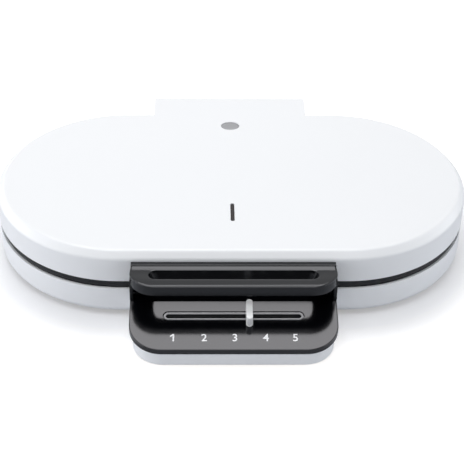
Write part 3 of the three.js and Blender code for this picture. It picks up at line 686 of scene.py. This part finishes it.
# the grip's body, its top cut across so that it follows the dish, with a shallow chamfer round it
def makeGrip():
    h = handle
    rear = h["rear"] - h["rearPast"]
    grip = planFace(h["half"], rear, h["front"], h["under"], 0, h["corner"], h["cornerSteps"])
    lift(grip, grip.faces[:], h["stripZ"] - h["under"])
    for y, level in h["dish"][:-1]:
        sliceAt(grip, y)
    for v in grip.verts:
        along = (v.co.y - h["taperFrom"]) / (h["taperTo"] - h["taperFrom"])
        v.co.x *= 1 - h["taper"] * min(1, max(0, along))
        if v.co.z > h["under"] + 1:
            v.co.z = dishHeight(v.co.y) - h["edgeDrop"]
    grip.normal_update()
    drawIn(grip, [f for f in grip.faces if f.normal.z > 0.9], (h["edgeWide"], h["edgeDrop"]))
    grip.normal_update()
    soften(grip, rimEdges(grip, rear), h["topRound"], 3)
    soften(grip, rimEdges(grip, rear, -1), h["underRound"], 4)
    return workPiece(grip)


# the slot as two tools: its walls, drawn in at the ends below, and its shallow rim in the dish
def slotTools():
    h = handle
    rear, front, steps = h["slotRear"], h["slotFront"], h["cornerSteps"]
    radius = (rear - front) / 2
    walls = planFace(h["slotHalf"], rear, front, h["slotUnder"], radius, radius, steps)
    lift(walls, walls.faces[:], h["slotHigh"])
    for v in walls.verts:
        inwards = h["slotNarrow"] * (h["stripZ"] - v.co.z) / (h["stripZ"] - h["under"])
        v.co.x -= inwards * math.copysign(1, v.co.x)
    wide, above = h["rimWide"], h["rimAbove"]
    rim = planFace(h["slotHalf"] + wide, rear + wide, front - wide, h["stripZ"] + h["rimHigh"],
                   radius + wide, radius + wide, steps)
    face = lift(rim, rim.faces[:], above - h["rimHigh"])
    inset = wide + h["rimWithin"]
    drawIn(rim, face, (inset, -(h["rimDrop"] + above) * inset / wide))
    for v in rim.verts:
        if v.co.z < h["stripZ"] + 1:
            v.co.z += dishHeight(v.co.y) - h["stripZ"]
    return [walls, rim]


def makeHandle():
    h = handle
    piece = makeGrip()
    joinUp(piece, [block(*h["groove"]), *slotTools()])
    parts = [sideBar(h["stripSide"], -h["stripHalf"], h["stripHalf"])]
    for x in (-h["half"], h["half"] - h["cheekThick"]):
        parts.append(block(x, x + h["cheekThick"], *h["cheek"]))
    joinUp(piece, parts, "UNION")
    placePiece(piece, "lidHandle", "lid", "handleBlack", ["lid_handle"],
               edge=0.4, steps=3)


makeHandle()
print("handle made")

# base shell: oval tray, control tub, bosses, vents and holes

base = {
    "inset": 0.5,
    "rimDrop": 0.5,
    "rimRound": 0.5,
    "bottomRound": 7.0,
    "roomRound": 5.0,
    "roomHigh": 40.0,
    "tubHalf": 91.9,
    "tubRear": -36.0,
    "tubFront": -175.5,
    "tubCorner": 28.0,
    "tubRound": 2.6,
    "tubHigh": 30.0,
    "tubMiddle": 20.0,
    "tubRoomRear": -101.8,
    "tubRoomHigh": 60.0,
    "coverDrop": 5.3,
    "feet": [(-68, -148), (68, -148), (-130, 125), (130, 125)],
    "coverScrews": [(-80, -110), (80, -110)],
    # radius, foot, top and steps of the posts at each set of places
    "bosses": [("plateScrews", 6, 7, 20.3), ("feet", 5, 7, 14), ("coverScrews", 5, 7, 28.9)],
    "holes": [("plateScrews", 4.2, 0, 8.2), ("plateScrews", 2.3, 10, 40, 12),
              ("coverScrews", 3.3, 0, 8), ("coverScrews", 1.8, 10, 40, 12)],
    "ventX": 120.0,
    "ventLong": 44.0,
    "ventWide": 3.0,
    "ventHigh": 8.5,
    "ventYs": [6, 18, 30, 42],
    # x, z, radius and steps of the holes through the rear wall
    "rearHoles": {"gland": (-92.0, 18.0, 6.3, 32), "lead": (-14.0, 14.0, 4.0, 24)},
    "rearInside": 140.5,
    "rearOutside": 149.5,
}


def postsAt(rows):
    places = {**machine, **base}
    return [post(x, y, *sizes) for name, *sizes in rows for x, y in places[name]]


def makeBaseShell():
    m, b = machine, base
    outer = ovalFace(b["inset"], m["baseBottomZ"])
    rimZ = m["baseRimZ"] - b["rimDrop"]
    lift(outer, outer.faces[:], rimZ - m["baseBottomZ"])
    soften(outer, edgesAt(outer, m["baseBottomZ"]), b["bottomRound"], 8)
    soften(outer, edgesAt(outer, rimZ), b["rimRound"], 2)
    shell = workPiece(outer)
    tub = planFace(b["tubHalf"], b["tubRear"], b["tubFront"], m["baseBottomZ"], 0,
                   b["tubCorner"], 14)
    lift(tub, tub.faces[:], b["tubHigh"])
    sliceAt(tub, m["panelRearY"])
    for v in tub.verts:
        if v.co.z > b["tubMiddle"]:
            v.co.z = panelHeight(v.co.y) - b["coverDrop"]
    soften(tub, rimEdges(tub, b["tubRear"], -1), b["tubRound"], 4)
    joinUp(shell, [tub], "UNION")
    room = ovalFace(b["inset"] + m["wall"], m["floorZ"])
    lift(room, room.faces[:], b["roomHigh"])
    soften(room, edgesAt(room, m["floorZ"]), b["roomRound"], 4)
    tubRoom = planFace(b["tubHalf"] - m["wall"], b["tubRoomRear"], b["tubFront"] + m["wall"],
                       m["floorZ"], 0, b["tubCorner"] - m["wall"], 10)
    lift(tubRoom, tubRoom.faces[:], b["tubRoomHigh"])
    joinUp(shell, [room, tubRoom])
    joinUp(shell, [gather(postsAt(b["bosses"]))], "UNION")
    holes = postsAt(b["holes"])
    for side in (-1, 1):
        for y in b["ventYs"]:
            vent = pill(b["ventLong"], b["ventWide"], y, 0, 5)
            lift(vent, vent.faces[:], b["ventHigh"])
            shift(vent, side * b["ventX"], 0, 0)
            holes.append(vent)
    for x, z, radius, steps in b["rearHoles"].values():
        holes.append(rod((x, b["rearInside"], z), (x, b["rearOutside"], z), radius, steps))
    joinUp(shell, [gather(holes)])
    placePiece(shell, "baseShell", "base", "whiteShell", ["base_shell"],
               smooth=32)


makeBaseShell()
print("base shell made")

# control cover with its slot, bezel, digits and slider knob

panel = {
    "half": 95.2,
    "rear": -100.8,
    "front": -176.0,
    "corner": 30.0,
    "edge": 5.0,
    "topRound": 1.0,
    "blankHigh": 20.0,
    "dishFront": -142.0,
    "dishRise": 1.31,
    "dishSlices": 12,
    "creaseRound": 0.8,
    "roomEdge": 8.0,
    "slotCentre": 16.6,
    "rimLong": 129.4,
    "rimWide": 10.5,
    "rimGap": 1.0,
    "rimToolHigh": 20.0,
    "bezelUnder": -1.9,
    "bezelSteps": [(0.4, 0.05), (0.15, 1.6), (1.5, 0.0), (0.3, -0.3)],
    "flangeTop": -1.8,
    "flangeUnder": -2.5,
    "lipUnder": -1.0,
    "digitX": [-54.6, -26.9, 0.8, 28.7, 55.3],
    "digitDown": 42.85,
    "digitSize": 11.8,
    "digitNarrow": 0.94,
    "digitBold": 0.12,
    "digitLift": 0.05,
    "digitHalf": 0.03,
    "flag": [(0, 0), (-2.3, -1.9), (-2.3, -3.3), (0, -1.9)],
}


# the panel steepens towards its rear edge, where it rises above its own plane
def dishRise(y):
    span = machine["panelRearY"] - panel["dishFront"]
    along = min(1, max(0, (y - panel["dishFront"]) / span))
    return panel["dishRise"] * along ** 3


def makeCoverBody(inset, drop, thick, dished=False):
    p, rearY = panel, machine["panelRearY"]
    bm = planFace(p["half"] - inset, p["rear"] - inset, p["front"] + inset, 0, 0,
                  p["corner"] - inset, 16)
    lift(bm, bm.faces[:], p["blankHigh"])
    slices = p["dishSlices"] if dished else 1
    for i in range(slices):
        sliceAt(bm, rearY + (p["dishFront"] - rearY) * i / slices)
    for v in bm.verts:
        if v.co.z > p["blankHigh"] / 2:
            v.co.z = panelHeight(v.co.y) - drop + (dishRise(v.co.y) if dished else 0)
        else:
            v.co.z = panelHeight(v.co.y) - thick
    return bm


def makeCover():
    p = panel
    outer = makeCoverBody(0, 0, p["edge"], dished=True)
    outer.normal_update()
    soften(outer, rimEdges(outer, p["rear"]), p["topRound"], 4)
    crease = edgesWhere(outer, lambda v: abs(v.y - machine["panelRearY"]) < near
                        and v.z > machine["baseRimZ"] + 0.5)
    soften(outer, crease, p["creaseRound"], 3)
    cover = workPiece(outer)
    room = makeCoverBody(machine["wall"], machine["wall"], p["roomEdge"])
    rim = pill(p["rimLong"], p["rimWide"], -p["slotCentre"], -p["rimToolHigh"] / 2)
    lift(rim, rim.faces[:], p["rimToolHigh"])
    joinUp(cover, [room, ontoPanel(rim)])
    placePiece(cover, "controlCover", "base", "glossBlack", ["control_cover"],
               edge=0.25, steps=2)


# a ring with a low flange outside and a lip that turns down into the slot
def makeBezel():
    p = panel
    bm = pill(p["rimLong"] - p["rimGap"], p["rimWide"] - p["rimGap"], -p["slotCentre"],
              p["bezelUnder"])
    middle = bm.faces[:]
    drawIn(bm, middle, *p["bezelSteps"])
    bmesh.ops.delete(bm, geom=middle, context="FACES")
    made = bmesh.ops.extrude_face_region(bm, geom=bm.faces[:])["geom"]
    for v in vertsOf(made):
        v.co.z = p["lipUnder"] if v.co.z > p["flangeTop"] else p["flangeUnder"]
    # the bezel takes the grey painted reflection of the softbox
    placePiece(workPiece(ontoPanel(bm)), "slotBezel", "base", "greyPaintedReflection", ["slot_bezel"],
               smooth=60)


# the plain digits 1 to 5; the 1 gets a longer flag, as in the photo
def makeDigits():
    p = panel
    whole = bmesh.new()
    for number, x in enumerate(p["digitX"], 1):
        words = bpy.data.curves.new("digit", "FONT")
        words.body = str(number)
        words.size = p["digitSize"]
        words.extrude = p["digitHalf"]
        words.offset = p["digitBold"]
        words.align_x = "CENTER"
        words.align_y = "CENTER"
        words.resolution_u = 6
        digit = plainMesh(words)
        digit.transform(Matrix.Scale(p["digitNarrow"], 4, (1, 0, 0)))
        if number == 1:
            left = min(v.co.x for v in digit.vertices)
            top = max(v.co.y for v in digit.vertices)
            flag = bmesh.new()
            flag.from_mesh(digit)
            corners = [flag.verts.new((left + a, top + b, -p["digitHalf"])) for a, b in p["flag"]]
            lift(flag, [flag.faces.new(corners)], 2 * p["digitHalf"])
            flag.to_mesh(digit)
            flag.free()
        digit.transform(Matrix.Translation((x, -p["digitDown"], p["digitLift"])))
        whole.from_mesh(digit)
    placePiece(workPiece(ontoPanel(whole)), "heatDigits", "base", "digitWhite", smooth=40)


knob = {
    "x": 14.2,
    "wide": 6.4,
    "long": 24.0,
    "height": 12.0,
    "centre": 18.2,
    "under": 0.6,
    "skirt": 1.0,
    "drawnIn": 0.3,
    "round": 0.8,
    "lensHigh": 9.0,
    "lensWide": 3.4,
    "lensDeep": 0.5,
    "lensSunk": 0.3,
    "lensGap": 0.45,
    "lensZ": 6.4,
    "socketPast": 2.0,
    "socketDeep": 1.5,
    "pocket": (-2.8, 2.8, -18.1, -15.1, -1, 6.3),
}


def makeKnob():
    k = knob
    end, z = k["wide"] / 2, k["lensZ"]
    front = -k["centre"] - k["long"] / 2
    bm = planFace(end, -k["centre"] + k["long"] / 2, front, k["under"], end, end, 12)
    top = lift(bm, bm.faces[:], k["skirt"])
    drawIn(bm, top, (k["drawnIn"], k["height"] - k["under"] - k["skirt"]))
    soften(bm, edgesAt(bm, k["height"]), k["round"], 5)
    body = workPiece(bm)
    socket = rod((0, front - k["socketPast"], z), (0, front + k["socketDeep"], z), 1, 36)
    for v in socket.verts:
        v.co.x *= k["lensWide"] / 2 + k["lensGap"]
        v.co.z = z + (v.co.z - z) * (k["lensHigh"] / 2 + k["lensGap"])
    joinUp(body, [socket, block(*k["pocket"])])
    body.data.transform(Matrix.Translation((k["x"], 0, 0)))
    body.data.transform(panelPlace())
    # the knob's finish is its white with painted light in it, brighter than the shell under the
    # same lamps
    placePiece(body, "sliderKnob", "slider", "knobWhitePaintedLight", ["slider_knob"],
               edge=0.15, steps=2)
    lens = bmesh.new()
    bmesh.ops.create_uvsphere(lens, u_segments=28, v_segments=16, radius=1)
    stretch(lens, k["lensWide"] / 2, k["lensDeep"], k["lensHigh"] / 2)
    shift(lens, k["x"], front + k["lensDeep"] + k["lensSunk"], z)
    placePiece(workPiece(ontoPanel(lens)), "knobLens", "slider", "paleLens", ["knob_lens"],
               smooth=60)


makeCover()
makeBezel()
makeDigits()
makeKnob()
print("control panel made")

# cooking plates: two round moulds of five hearts, with raised pads and soft walls

mould = {
    "x": 108.0,
    "hearts": 5,
    "reach": 72.0,
    "lobe": 22.0,
    "lobeSteps": 26,
    "ridgeHalf": 1.5,
    "tipRound": 5.0,
    "above": 1.0,
    "heartSteps": [(0.9, -4.6), (0.75, -0.72), (0.8, -0.28)],
    "pads": [(29, 0), (48, -19), (48, 0), (48, 19), (67, -19), (67, 19)],
    "padHalf": 6.2,
    "padRound": 1.6,
    "padUnder": -6.6,
    "padFoot": 1.0,
    "padSteps": [(0.35, 0.4), (0.75, 2.2), (0.6, 0.6)],
    "trayRadius": 103.0,
    "trayUnder": -9.0,
    "trayTop": -1.0,
    "roundSteps": 96,
    "flange": 3.75,
    "inset": 2.3,
    "stepIn": 1.5,
    "stepHigh": 1.0,
    "stepOverlap": 0.5,
    "discRadii": (66.2, 68.2),
    "discDeep": 4.0,
    "discZ": -0.3,
    "halfGap": 0.15,
    "screwHole": (4.2, -3, 1),
}


# one heart hollow as a tool, its point at the middle and its lobes outwards along X
def heartTool():
    d = mould
    slant = math.pi / d["hearts"]
    lobeTurn = slant - math.asin((d["lobe"] + d["ridgeHalf"]) / d["reach"])
    centre = Vector((d["reach"] * math.cos(lobeTurn), d["reach"] * math.sin(lobeTurn), d["above"]))
    notch = -math.acos(math.sqrt(1 - (centre.y / d["lobe"]) ** 2))
    bm = bmesh.new()
    first = bm.verts.new(centre + d["lobe"] * Vector((math.cos(notch), math.sin(notch), 0)))
    bmesh.ops.spin(bm, geom=[first], cent=centre, axis=(0, 0, 1),
                   angle=slant + math.pi / 2 - notch, steps=d["lobeSteps"])
    bm.verts.ensure_lookup_table()
    last = min(bm.verts, key=lambda v: v.co.x - v.co.y * 0.01)
    tip = bm.verts.new((d["ridgeHalf"] / math.sin(slant), 0, d["above"]))
    bm.edges.new((last, tip))
    bmesh.ops.mirror(bm, geom=bm.verts[:] + bm.edges[:], axis="Y", merge_dist=0.05)
    bmesh.ops.contextual_create(bm, geom=bm.edges[:])
    inner = [v for v in bm.verts if abs(v.co.y) < near]
    roundOff(bm, [min(inner, key=lambda v: v.co.x)], d["tipRound"], 5, "VERTICES", False)
    if bm.faces[:][0].normal.z < 0:
        bmesh.ops.reverse_faces(bm, faces=bm.faces[:])
    drawIn(bm, lift(bm, bm.faces[:], -d["above"]), *d["heartSteps"])
    tool = workPiece(bm)
    pads = []
    half, corner = d["padHalf"], d["padRound"]
    for x, y in d["pads"]:
        pad = planFace(half, half, -half, d["padUnder"], corner, corner, 4)
        drawIn(pad, lift(pad, pad.faces[:], d["padFoot"]), *d["padSteps"])
        shift(pad, x, y, 0)
        pads.append(pad)
    return joinUp(tool, [gather(pads)])


# the plate with its face at height 0 and its body below
def makePlateBody():
    d, y = mould, machine["ovalY"]
    flange = ovalFace(d["inset"], d["stepHigh"] - d["flange"])
    lift(flange, flange.faces[:], d["flange"] - d["stepHigh"])
    plate = workPiece(flange)
    step = ovalFace(d["inset"] + d["stepIn"], -d["flange"])
    lift(step, step.faces[:], d["stepHigh"] + d["stepOverlap"])
    centres = (-d["x"], d["x"])
    trays = [post(x, y, d["trayRadius"], d["trayUnder"], d["trayTop"], d["roundSteps"])
             for x in centres]
    joinUp(plate, [step, gather(trays)], "UNION")
    heart = heartTool()
    hollows, discs = [], []
    for x in centres:
        for i in range(d["hearts"]):
            turn = Matrix.Rotation(math.pi / 2 + math.tau * i / d["hearts"], 4, "Z")
            hollow = bmesh.new()
            hollow.from_mesh(heart.data)
            bmesh.ops.transform(hollow, matrix=Matrix.Translation((x, y, 0)) @ turn,
                                verts=hollow.verts)
            hollows.append(hollow)
        discs.append(cone(*d["discRadii"], d["discDeep"], d["roundSteps"],
                          Matrix.Translation((x, y, d["discZ"]))))
    bpy.data.objects.remove(heart)
    joinUp(plate, [gather(hollows)])
    joinUp(plate, [gather(discs)])
    return plate


def makePlates():
    m, gap = machine, mould["halfGap"]
    plate = makePlateBody()
    lower = newObject("work", plate.data.copy())
    lower.data.transform(Matrix.Translation((0, 0, m["partingZ"] - gap)))
    placePiece(lower, "lowerPlate", "base", "nonStick", ["lower_cooking_plate"],
               edge=0.5, steps=3)
    screwHoles = [post(x, y, *mould["screwHole"]) for x, y in m["plateScrews"]]
    joinUp(plate, [gather(screwHoles)])
    plate.data.transform(Matrix.Scale(-1, 4, (0, 0, 1)))
    plate.data.flip_normals()
    plate.data.transform(Matrix.Translation((0, 0, m["partingZ"] + gap)))
    placePiece(plate, "upperPlate", "lid", "nonStick", ["upper_cooking_plate"],
               edge=0.5, steps=3)


makePlates()
print("cooking plates made")

# hinge: blocks with two ears on the base, arms on the lid, steel pins

hinge = {
    "knuckle": 7.0,
    "armHalf": 4.7,
    "armSide": [(153.5, 36), (166.5, 36), (166.5, 69.5), (126, 69.5), (126, 66), (153.5, 66)],
    "earIn": 5.0,
    "earOut": 11.0,
    "earSide": [(148.3, 18), (153.3, 18), (165, 30.5), (160, 43), (148.3, 39)],
    "back": (148.3, 151.7, 18, 33),
    "pin": 2.5,
    "pinHalf": 12.0,
    "pinRound": 0.5,
    "hole": 2.8,
    "holeHalf": 20.0,
}


def makeHinge(side, x):
    h = hinge

    def crossBar(x0, x1, radius, steps):
        y, z = machine["hingeY"], machine["hingeZ"]
        return rod((x0, y, z), (x1, y, z), radius, steps)

    def drill():
        return crossBar(x - h["holeHalf"], x + h["holeHalf"], h["hole"], 28)

    body = workPiece(block(x - h["earOut"], x + h["earOut"], *h["back"]))
    parts = []
    for ear in (-1, 1):
        a, b = sorted((x + ear * h["earIn"], x + ear * h["earOut"]))
        parts += [sideBar(h["earSide"], a, b), crossBar(a, b, h["knuckle"], 40)]
    joinUp(body, parts, "UNION")
    joinUp(body, [drill()])
    placePiece(body, "hingeBlock" + side.title(), "base", "mattBlack", ["hinge_block_" + side],
               edge=0.35, steps=2)
    a, b = x - h["armHalf"], x + h["armHalf"]
    arm = workPiece(sideBar(h["armSide"], a, b))
    joinUp(arm, [crossBar(a, b, h["knuckle"], 40)], "UNION")
    joinUp(arm, [drill()])
    placePiece(arm, "hingeArm" + side.title(), "lid", "mattBlack", ["lid_hinge_arm_" + side],
               edge=0.35, steps=2)
    pin = crossBar(x - h["pinHalf"], x + h["pinHalf"], h["pin"], 32)
    ends = [e for e in pin.edges if len(e.link_faces) == 2 and e.calc_face_angle(0) > 1]
    soften(pin, ends, h["pinRound"], 3)
    placePiece(workPiece(pin), "hingePin" + side.title(), "base", "zincSteel",
               ["hinge_pin_" + side], smooth=40)


makeHinge("left", -machine["hingeX"])
makeHinge("right", machine["hingeX"])

# lead sleeves that meet on the hinge line, and the mains inlet's gland

lead = {
    "radius": 3.0,
    "base": [(-14, 136, 14), (-14, 150, 14), (-14, 158, 20), (-14, 160, 28), (-6, 160, 36),
             (-0.3, 160, 36)],
    "lid": [(0.3, 160, 36), (6, 160, 36), (11, 160, 39), (14, 158, 48), (14, 158, 56),
            (14, 150, 62), (14, 132, 62)],
}

gland = {
    "side": [(3.6, 0), (6, 0), (6, 3.7), (9, 3.7), (9, 5.6), (8.5, 6.6), (7.2, 8), (6.6, 8.5),
             (4.2, 8.5), (3.6, 7.9), (3.6, 0)],
    "y": 144.6,
}


def makeSleeve(body):
    line = bpy.data.curves.new("line", "CURVE")
    line.dimensions = "3D"
    line.bevel_depth = lead["radius"]
    line.bevel_resolution = 5
    line.resolution_u = 8
    line.use_fill_caps = True
    run = line.splines.new("BEZIER")
    run.bezier_points.add(len(lead[body]) - 1)
    for point, place in zip(run.bezier_points, lead[body]):
        point.co = place
        point.handle_left_type = point.handle_right_type = "AUTO"
    bm = bmesh.new()
    bm.from_mesh(plainMesh(line))
    placePiece(workPiece(bm), "leadSleeve" + body.title(), body, "mattBlack",
               ["lead_sleeve_" + body], smooth=50)


def makeGland():
    x, z, radius, steps = base["rearHoles"]["gland"]
    bm = turned(gland["side"], steps=40)
    quarter = Matrix.Rotation(-math.pi / 2, 3, "X")
    bmesh.ops.rotate(bm, cent=(0, 0, 0), matrix=quarter, verts=bm.verts)
    shift(bm, x, gland["y"], z)
    placePiece(workPiece(bm), "cordGland", "base", "mattBlack", ["cord_gland"],
               smooth=40)


makeSleeve("base")
makeSleeve("lid")
makeGland()
print("hinge and leads made")

# feet, and screws by radius, length and the height of the head's seat

foot = {
    "side": [(1.8, 2.6), (3.45, 2.6), (3.45, 0.25), (3.7, 0), (8.6, 0), (9.5, 0.35), (9.9, 1.1),
             (9.9, 2.0), (9.0, 4.7), (1.8, 4.7), (1.8, 2.6)],
}

screws = {
    "footScrew": (1.5, 9, 2.3),
    "lowerPlateScrew": (2, 23, 7.9),
    "upperPlateScrew": (2, 27, 41.25),
    "coverScrew": (1.5, 23, 7.7),
    "headWide": 1.9,
    "headHigh": 1.2,
    "dome": [(0, 1), (0.45, 0.97), (0.8, 0.72), (0.96, 0.35)],
    "crossLong": 0.55,
    "crossWide": 0.13,
    "crossFloor": 0.45,
}


def makeScrew(kind, end, node, body, x, y):
    radius, length, seat = screws[kind]
    head = radius * screws["headWide"]
    high = radius * screws["headHigh"]
    dome = [(head * across, -high * up) for across, up in screws["dome"]]
    shank = [(head, 0), (radius, 0), (radius, length - radius), (0, length)]
    screw = workPiece(turned(dome + shank, steps=28))
    a, b = head * screws["crossLong"], head * screws["crossWide"]
    heights = (-high - 1, -high * screws["crossFloor"])
    cross = [block(-a, a, -b, b, *heights), block(-b, b, -a, a, *heights)]
    joinUp(screw, cross)
    screw.data.transform(Matrix.Translation((x, y, seat)))
    placePiece(screw, kind + end.title(), body, "zincSteel", [node + end],
               smooth=40)


def makeFeetAndScrews():
    for i, (x, y) in enumerate(base["feet"], 1):
        placePiece(workPiece(turned(foot["side"], x, y, 40)), f"rubberFoot{i}", "base",
                   "footRubber", [f"rubber_foot_{i}"], smooth=40)
        makeScrew("footScrew", str(i), "foot_screw_", "base", x, y)
    for i, (x, y) in enumerate(machine["plateScrews"], 1):
        makeScrew("lowerPlateScrew", str(i), "lower_plate_screw_", "base", x, y)
        makeScrew("upperPlateScrew", str(i), "upper_plate_screw_", "lid", x, y)
    for side, (x, y) in zip(("left", "right"), base["coverScrews"]):
        makeScrew("coverScrew", side, "cover_screw_", "base", x, y)


makeFeetAndScrews()
print("feet and screws made")

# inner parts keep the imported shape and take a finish

carried = {
    "elementSteel": ["lower_element_left", "lower_element_right", "upper_element_left",
                     "upper_element_right"],
    "sheetAluminium": ["lower_heat_shield", "upper_heat_shield"],
    "ceramicBody": ["lower_thermal_fuse", "upper_thermal_fuse"],
    "zincSteel": ["temperature_sensor", "slider_stem", "handle_screw_left", "handle_screw_right"],
    "mattBlack": ["slide_potentiometer", "power_relay", "lamp_holder", "terminal_block"],
    "boardGreen": ["control_board"],
}
for lookName, nodes in carried.items():
    for node in nodes:
        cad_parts[node].data.materials.clear()
        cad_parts[node].data.materials.append(looks[lookName])
print("inner parts finished")

# the camera as it was fitted to the photo, in metres and pixels

view = {
    "place": (-0.0269, -1.1234, 0.8493),
    "forward": (0.0189, 0.8065, -0.5910),
    "roll": math.radians(0.834),
    "focal": 1403.16,
    "frame": 464.0,
    "centre": (230.758, 231.913),
    "sensor": 36,
    "clip": (0.05, 50),
}


def makeCamera():
    data = bpy.data.cameras.new("photoCamera")
    camera = newObject("photoCamera", data)
    forward = Vector(view["forward"]).normalized()
    right = forward.cross(Vector((0, 0, 1))).normalized()
    up = right.cross(forward)
    turn = view["roll"]
    tiltedRight = right * math.cos(turn) + up * math.sin(turn)
    tiltedUp = up * math.cos(turn) - right * math.sin(turn)
    facing = Matrix((tiltedRight, tiltedUp, -forward)).transposed().to_4x4()
    camera.matrix_world = Matrix.Translation(view["place"]) @ facing
    data.sensor_fit = "HORIZONTAL"
    data.sensor_width = view["sensor"]
    data.lens = view["sensor"] * view["focal"] / view["frame"]
    data.shift_x = (view["frame"] / 2 - view["centre"][0]) / view["frame"]
    data.shift_y = (view["centre"][1] - view["frame"] / 2) / view["frame"]
    data.clip_start, data.clip_end = view["clip"]
    scene.camera = camera


# the studio: softboxes that face the machine, an even fill, and a floor that glows white on
# camera, least at the machine's edge, which paints shade round its base
studio = {
    # name, place, width, depth, level and colour of each softbox
    "softboxes": [
        ("overhead", (-0.1, 0.6, 1.48), 1.1, 0.75, 4.3, (1.0, 0.985, 0.97)),
        ("left", (-1.7, -0.25, 0.37), 2.0, 0.7, 3.4, (0.97, 0.98, 1.0)),
        ("right", (1.7, -0.25, 0.37), 2.0, 0.7, 2.4, (0.95, 0.97, 1.0)),
        ("frontTop", (-0.2, -0.62, 1.8), 1.4, 1.0, 3.15, (1.0, 1.0, 1.0)),
    ],
    "fillColour": (0.88, 0.94, 1.0),
    "fillLevel": 0.24,
    "floorHalf": 6,
    "floorColour": (0.60, 0.615, 0.65),
    "floorRoughness": 0.35,
    "glowColour": (1.0, 0.97, 0.93),
    "glowReach": 0.085,
    # the least glow, at the machine's edge, leaves painted shade on the floor round the base
    "glowLeast": 0.3,
    "glowMost": 0.9,
}


def makeSoftbox(name, place, wide, deep, level, colour):
    data = bpy.data.lights.new(name, "AREA")
    data.shape = "RECTANGLE"
    data.size = wide
    data.size_y = deep
    data.energy = math.pi * wide * deep * level
    data.color = colour
    lamp = newObject(name, data)
    lamp.location = place
    lamp.rotation_euler = (-Vector(place)).to_track_quat("-Z", "Y").to_euler()


def makeFloor():
    bm = bmesh.new()
    bmesh.ops.create_grid(bm, x_segments=1, y_segments=1, size=studio["floorHalf"])
    floor = fromShape(bm, "floor")
    paint = bpy.data.materials.new("paleFloor")
    paint.use_nodes = True
    tree = paint.node_tree
    shader = tree.nodes["Principled BSDF"]
    shader.inputs["Base Color"].default_value = (*studio["floorColour"], 1)
    shader.inputs["Roughness"].default_value = studio["floorRoughness"]
    shader.inputs["Emission Color"].default_value = (*studio["glowColour"], 1)
    # distance from the oval's middle line, so that the glow grows away from the machine's edge;
    # the weaker glow near the edge is painted shade on top of the real shadow
    steps = [("SUBTRACT", (0, machine["ovalY"], 0)), ("ABSOLUTE", (0, 0, 0)),
             ("SUBTRACT", (machine["endX"], 0, 0)), ("MAXIMUM", (0, 0, 0)), ("LENGTH", (0, 0, 0))]
    last, socket = addNode(tree, "TexCoord"), "Object"
    for how, amount in steps:
        metres = [value * millimetre for value in amount]
        step = addNode(tree, "VectorMath", {1: metres}, operation=how)
        connect(tree, (last, socket, step, 0))
        last, socket = step, "Vector"
    edge = machine["halfDepth"] * millimetre
    # glow for the camera from least at the machine's edge to most farther out: painted shade round
    # the base, added to its real shadow
    paintedShadeFade = addNode(tree, "MapRange", {"From Min": edge, "From Max": edge + studio["glowReach"],
                                      "To Min": studio["glowLeast"],
                                      "To Max": studio["glowMost"]},
                   interpolation_type="SMOOTHSTEP")
    rays = addNode(tree, "LightPath")
    shown = addNode(tree, "Math", operation="MULTIPLY")
    connect(tree, (last, "Value", paintedShadeFade, "Value"),
            (rays, "Is Camera Ray", shown, 0),
            (paintedShadeFade, "Result", shown, 1),
            (shown, 0, shader, "Emission Strength"))
    floor.data.materials.append(paint)


# plain white for the camera and for what is mirrored or seen through, the fill for all else
def makeWorld():
    world = bpy.data.worlds.new("studio")
    scene.world = world
    world.use_nodes = True
    tree = world.node_tree
    tree.nodes.clear()
    result = addNode(tree, "OutputWorld")
    fill = addNode(tree, "Background", {"Color": (*studio["fillColour"], 1),
                                        "Strength": studio["fillLevel"]})
    seen = addNode(tree, "Background", {"Color": (1, 1, 1, 1), "Strength": 1})
    rays = addNode(tree, "LightPath")
    first = addNode(tree, "Math", operation="MAXIMUM")
    second = addNode(tree, "Math", operation="MAXIMUM")
    choose = addNode(tree, "MixShader")
    connect(tree, (rays, "Is Camera Ray", first, 0),
            (rays, "Is Glossy Ray", first, 1),
            (first, 0, second, 0),
            (rays, "Is Transmission Ray", second, 1),
            (second, 0, choose, 0),
            (fill, 0, choose, 1),
            (seen, 0, choose, 2),
            (choose, 0, result, "Surface"))


makeCamera()
makeWorld()
makeFloor()
for softbox in studio["softboxes"]:
    makeSoftbox(*softbox)
scene.view_settings.view_transform = "Standard"
print("camera, lights and floor made")
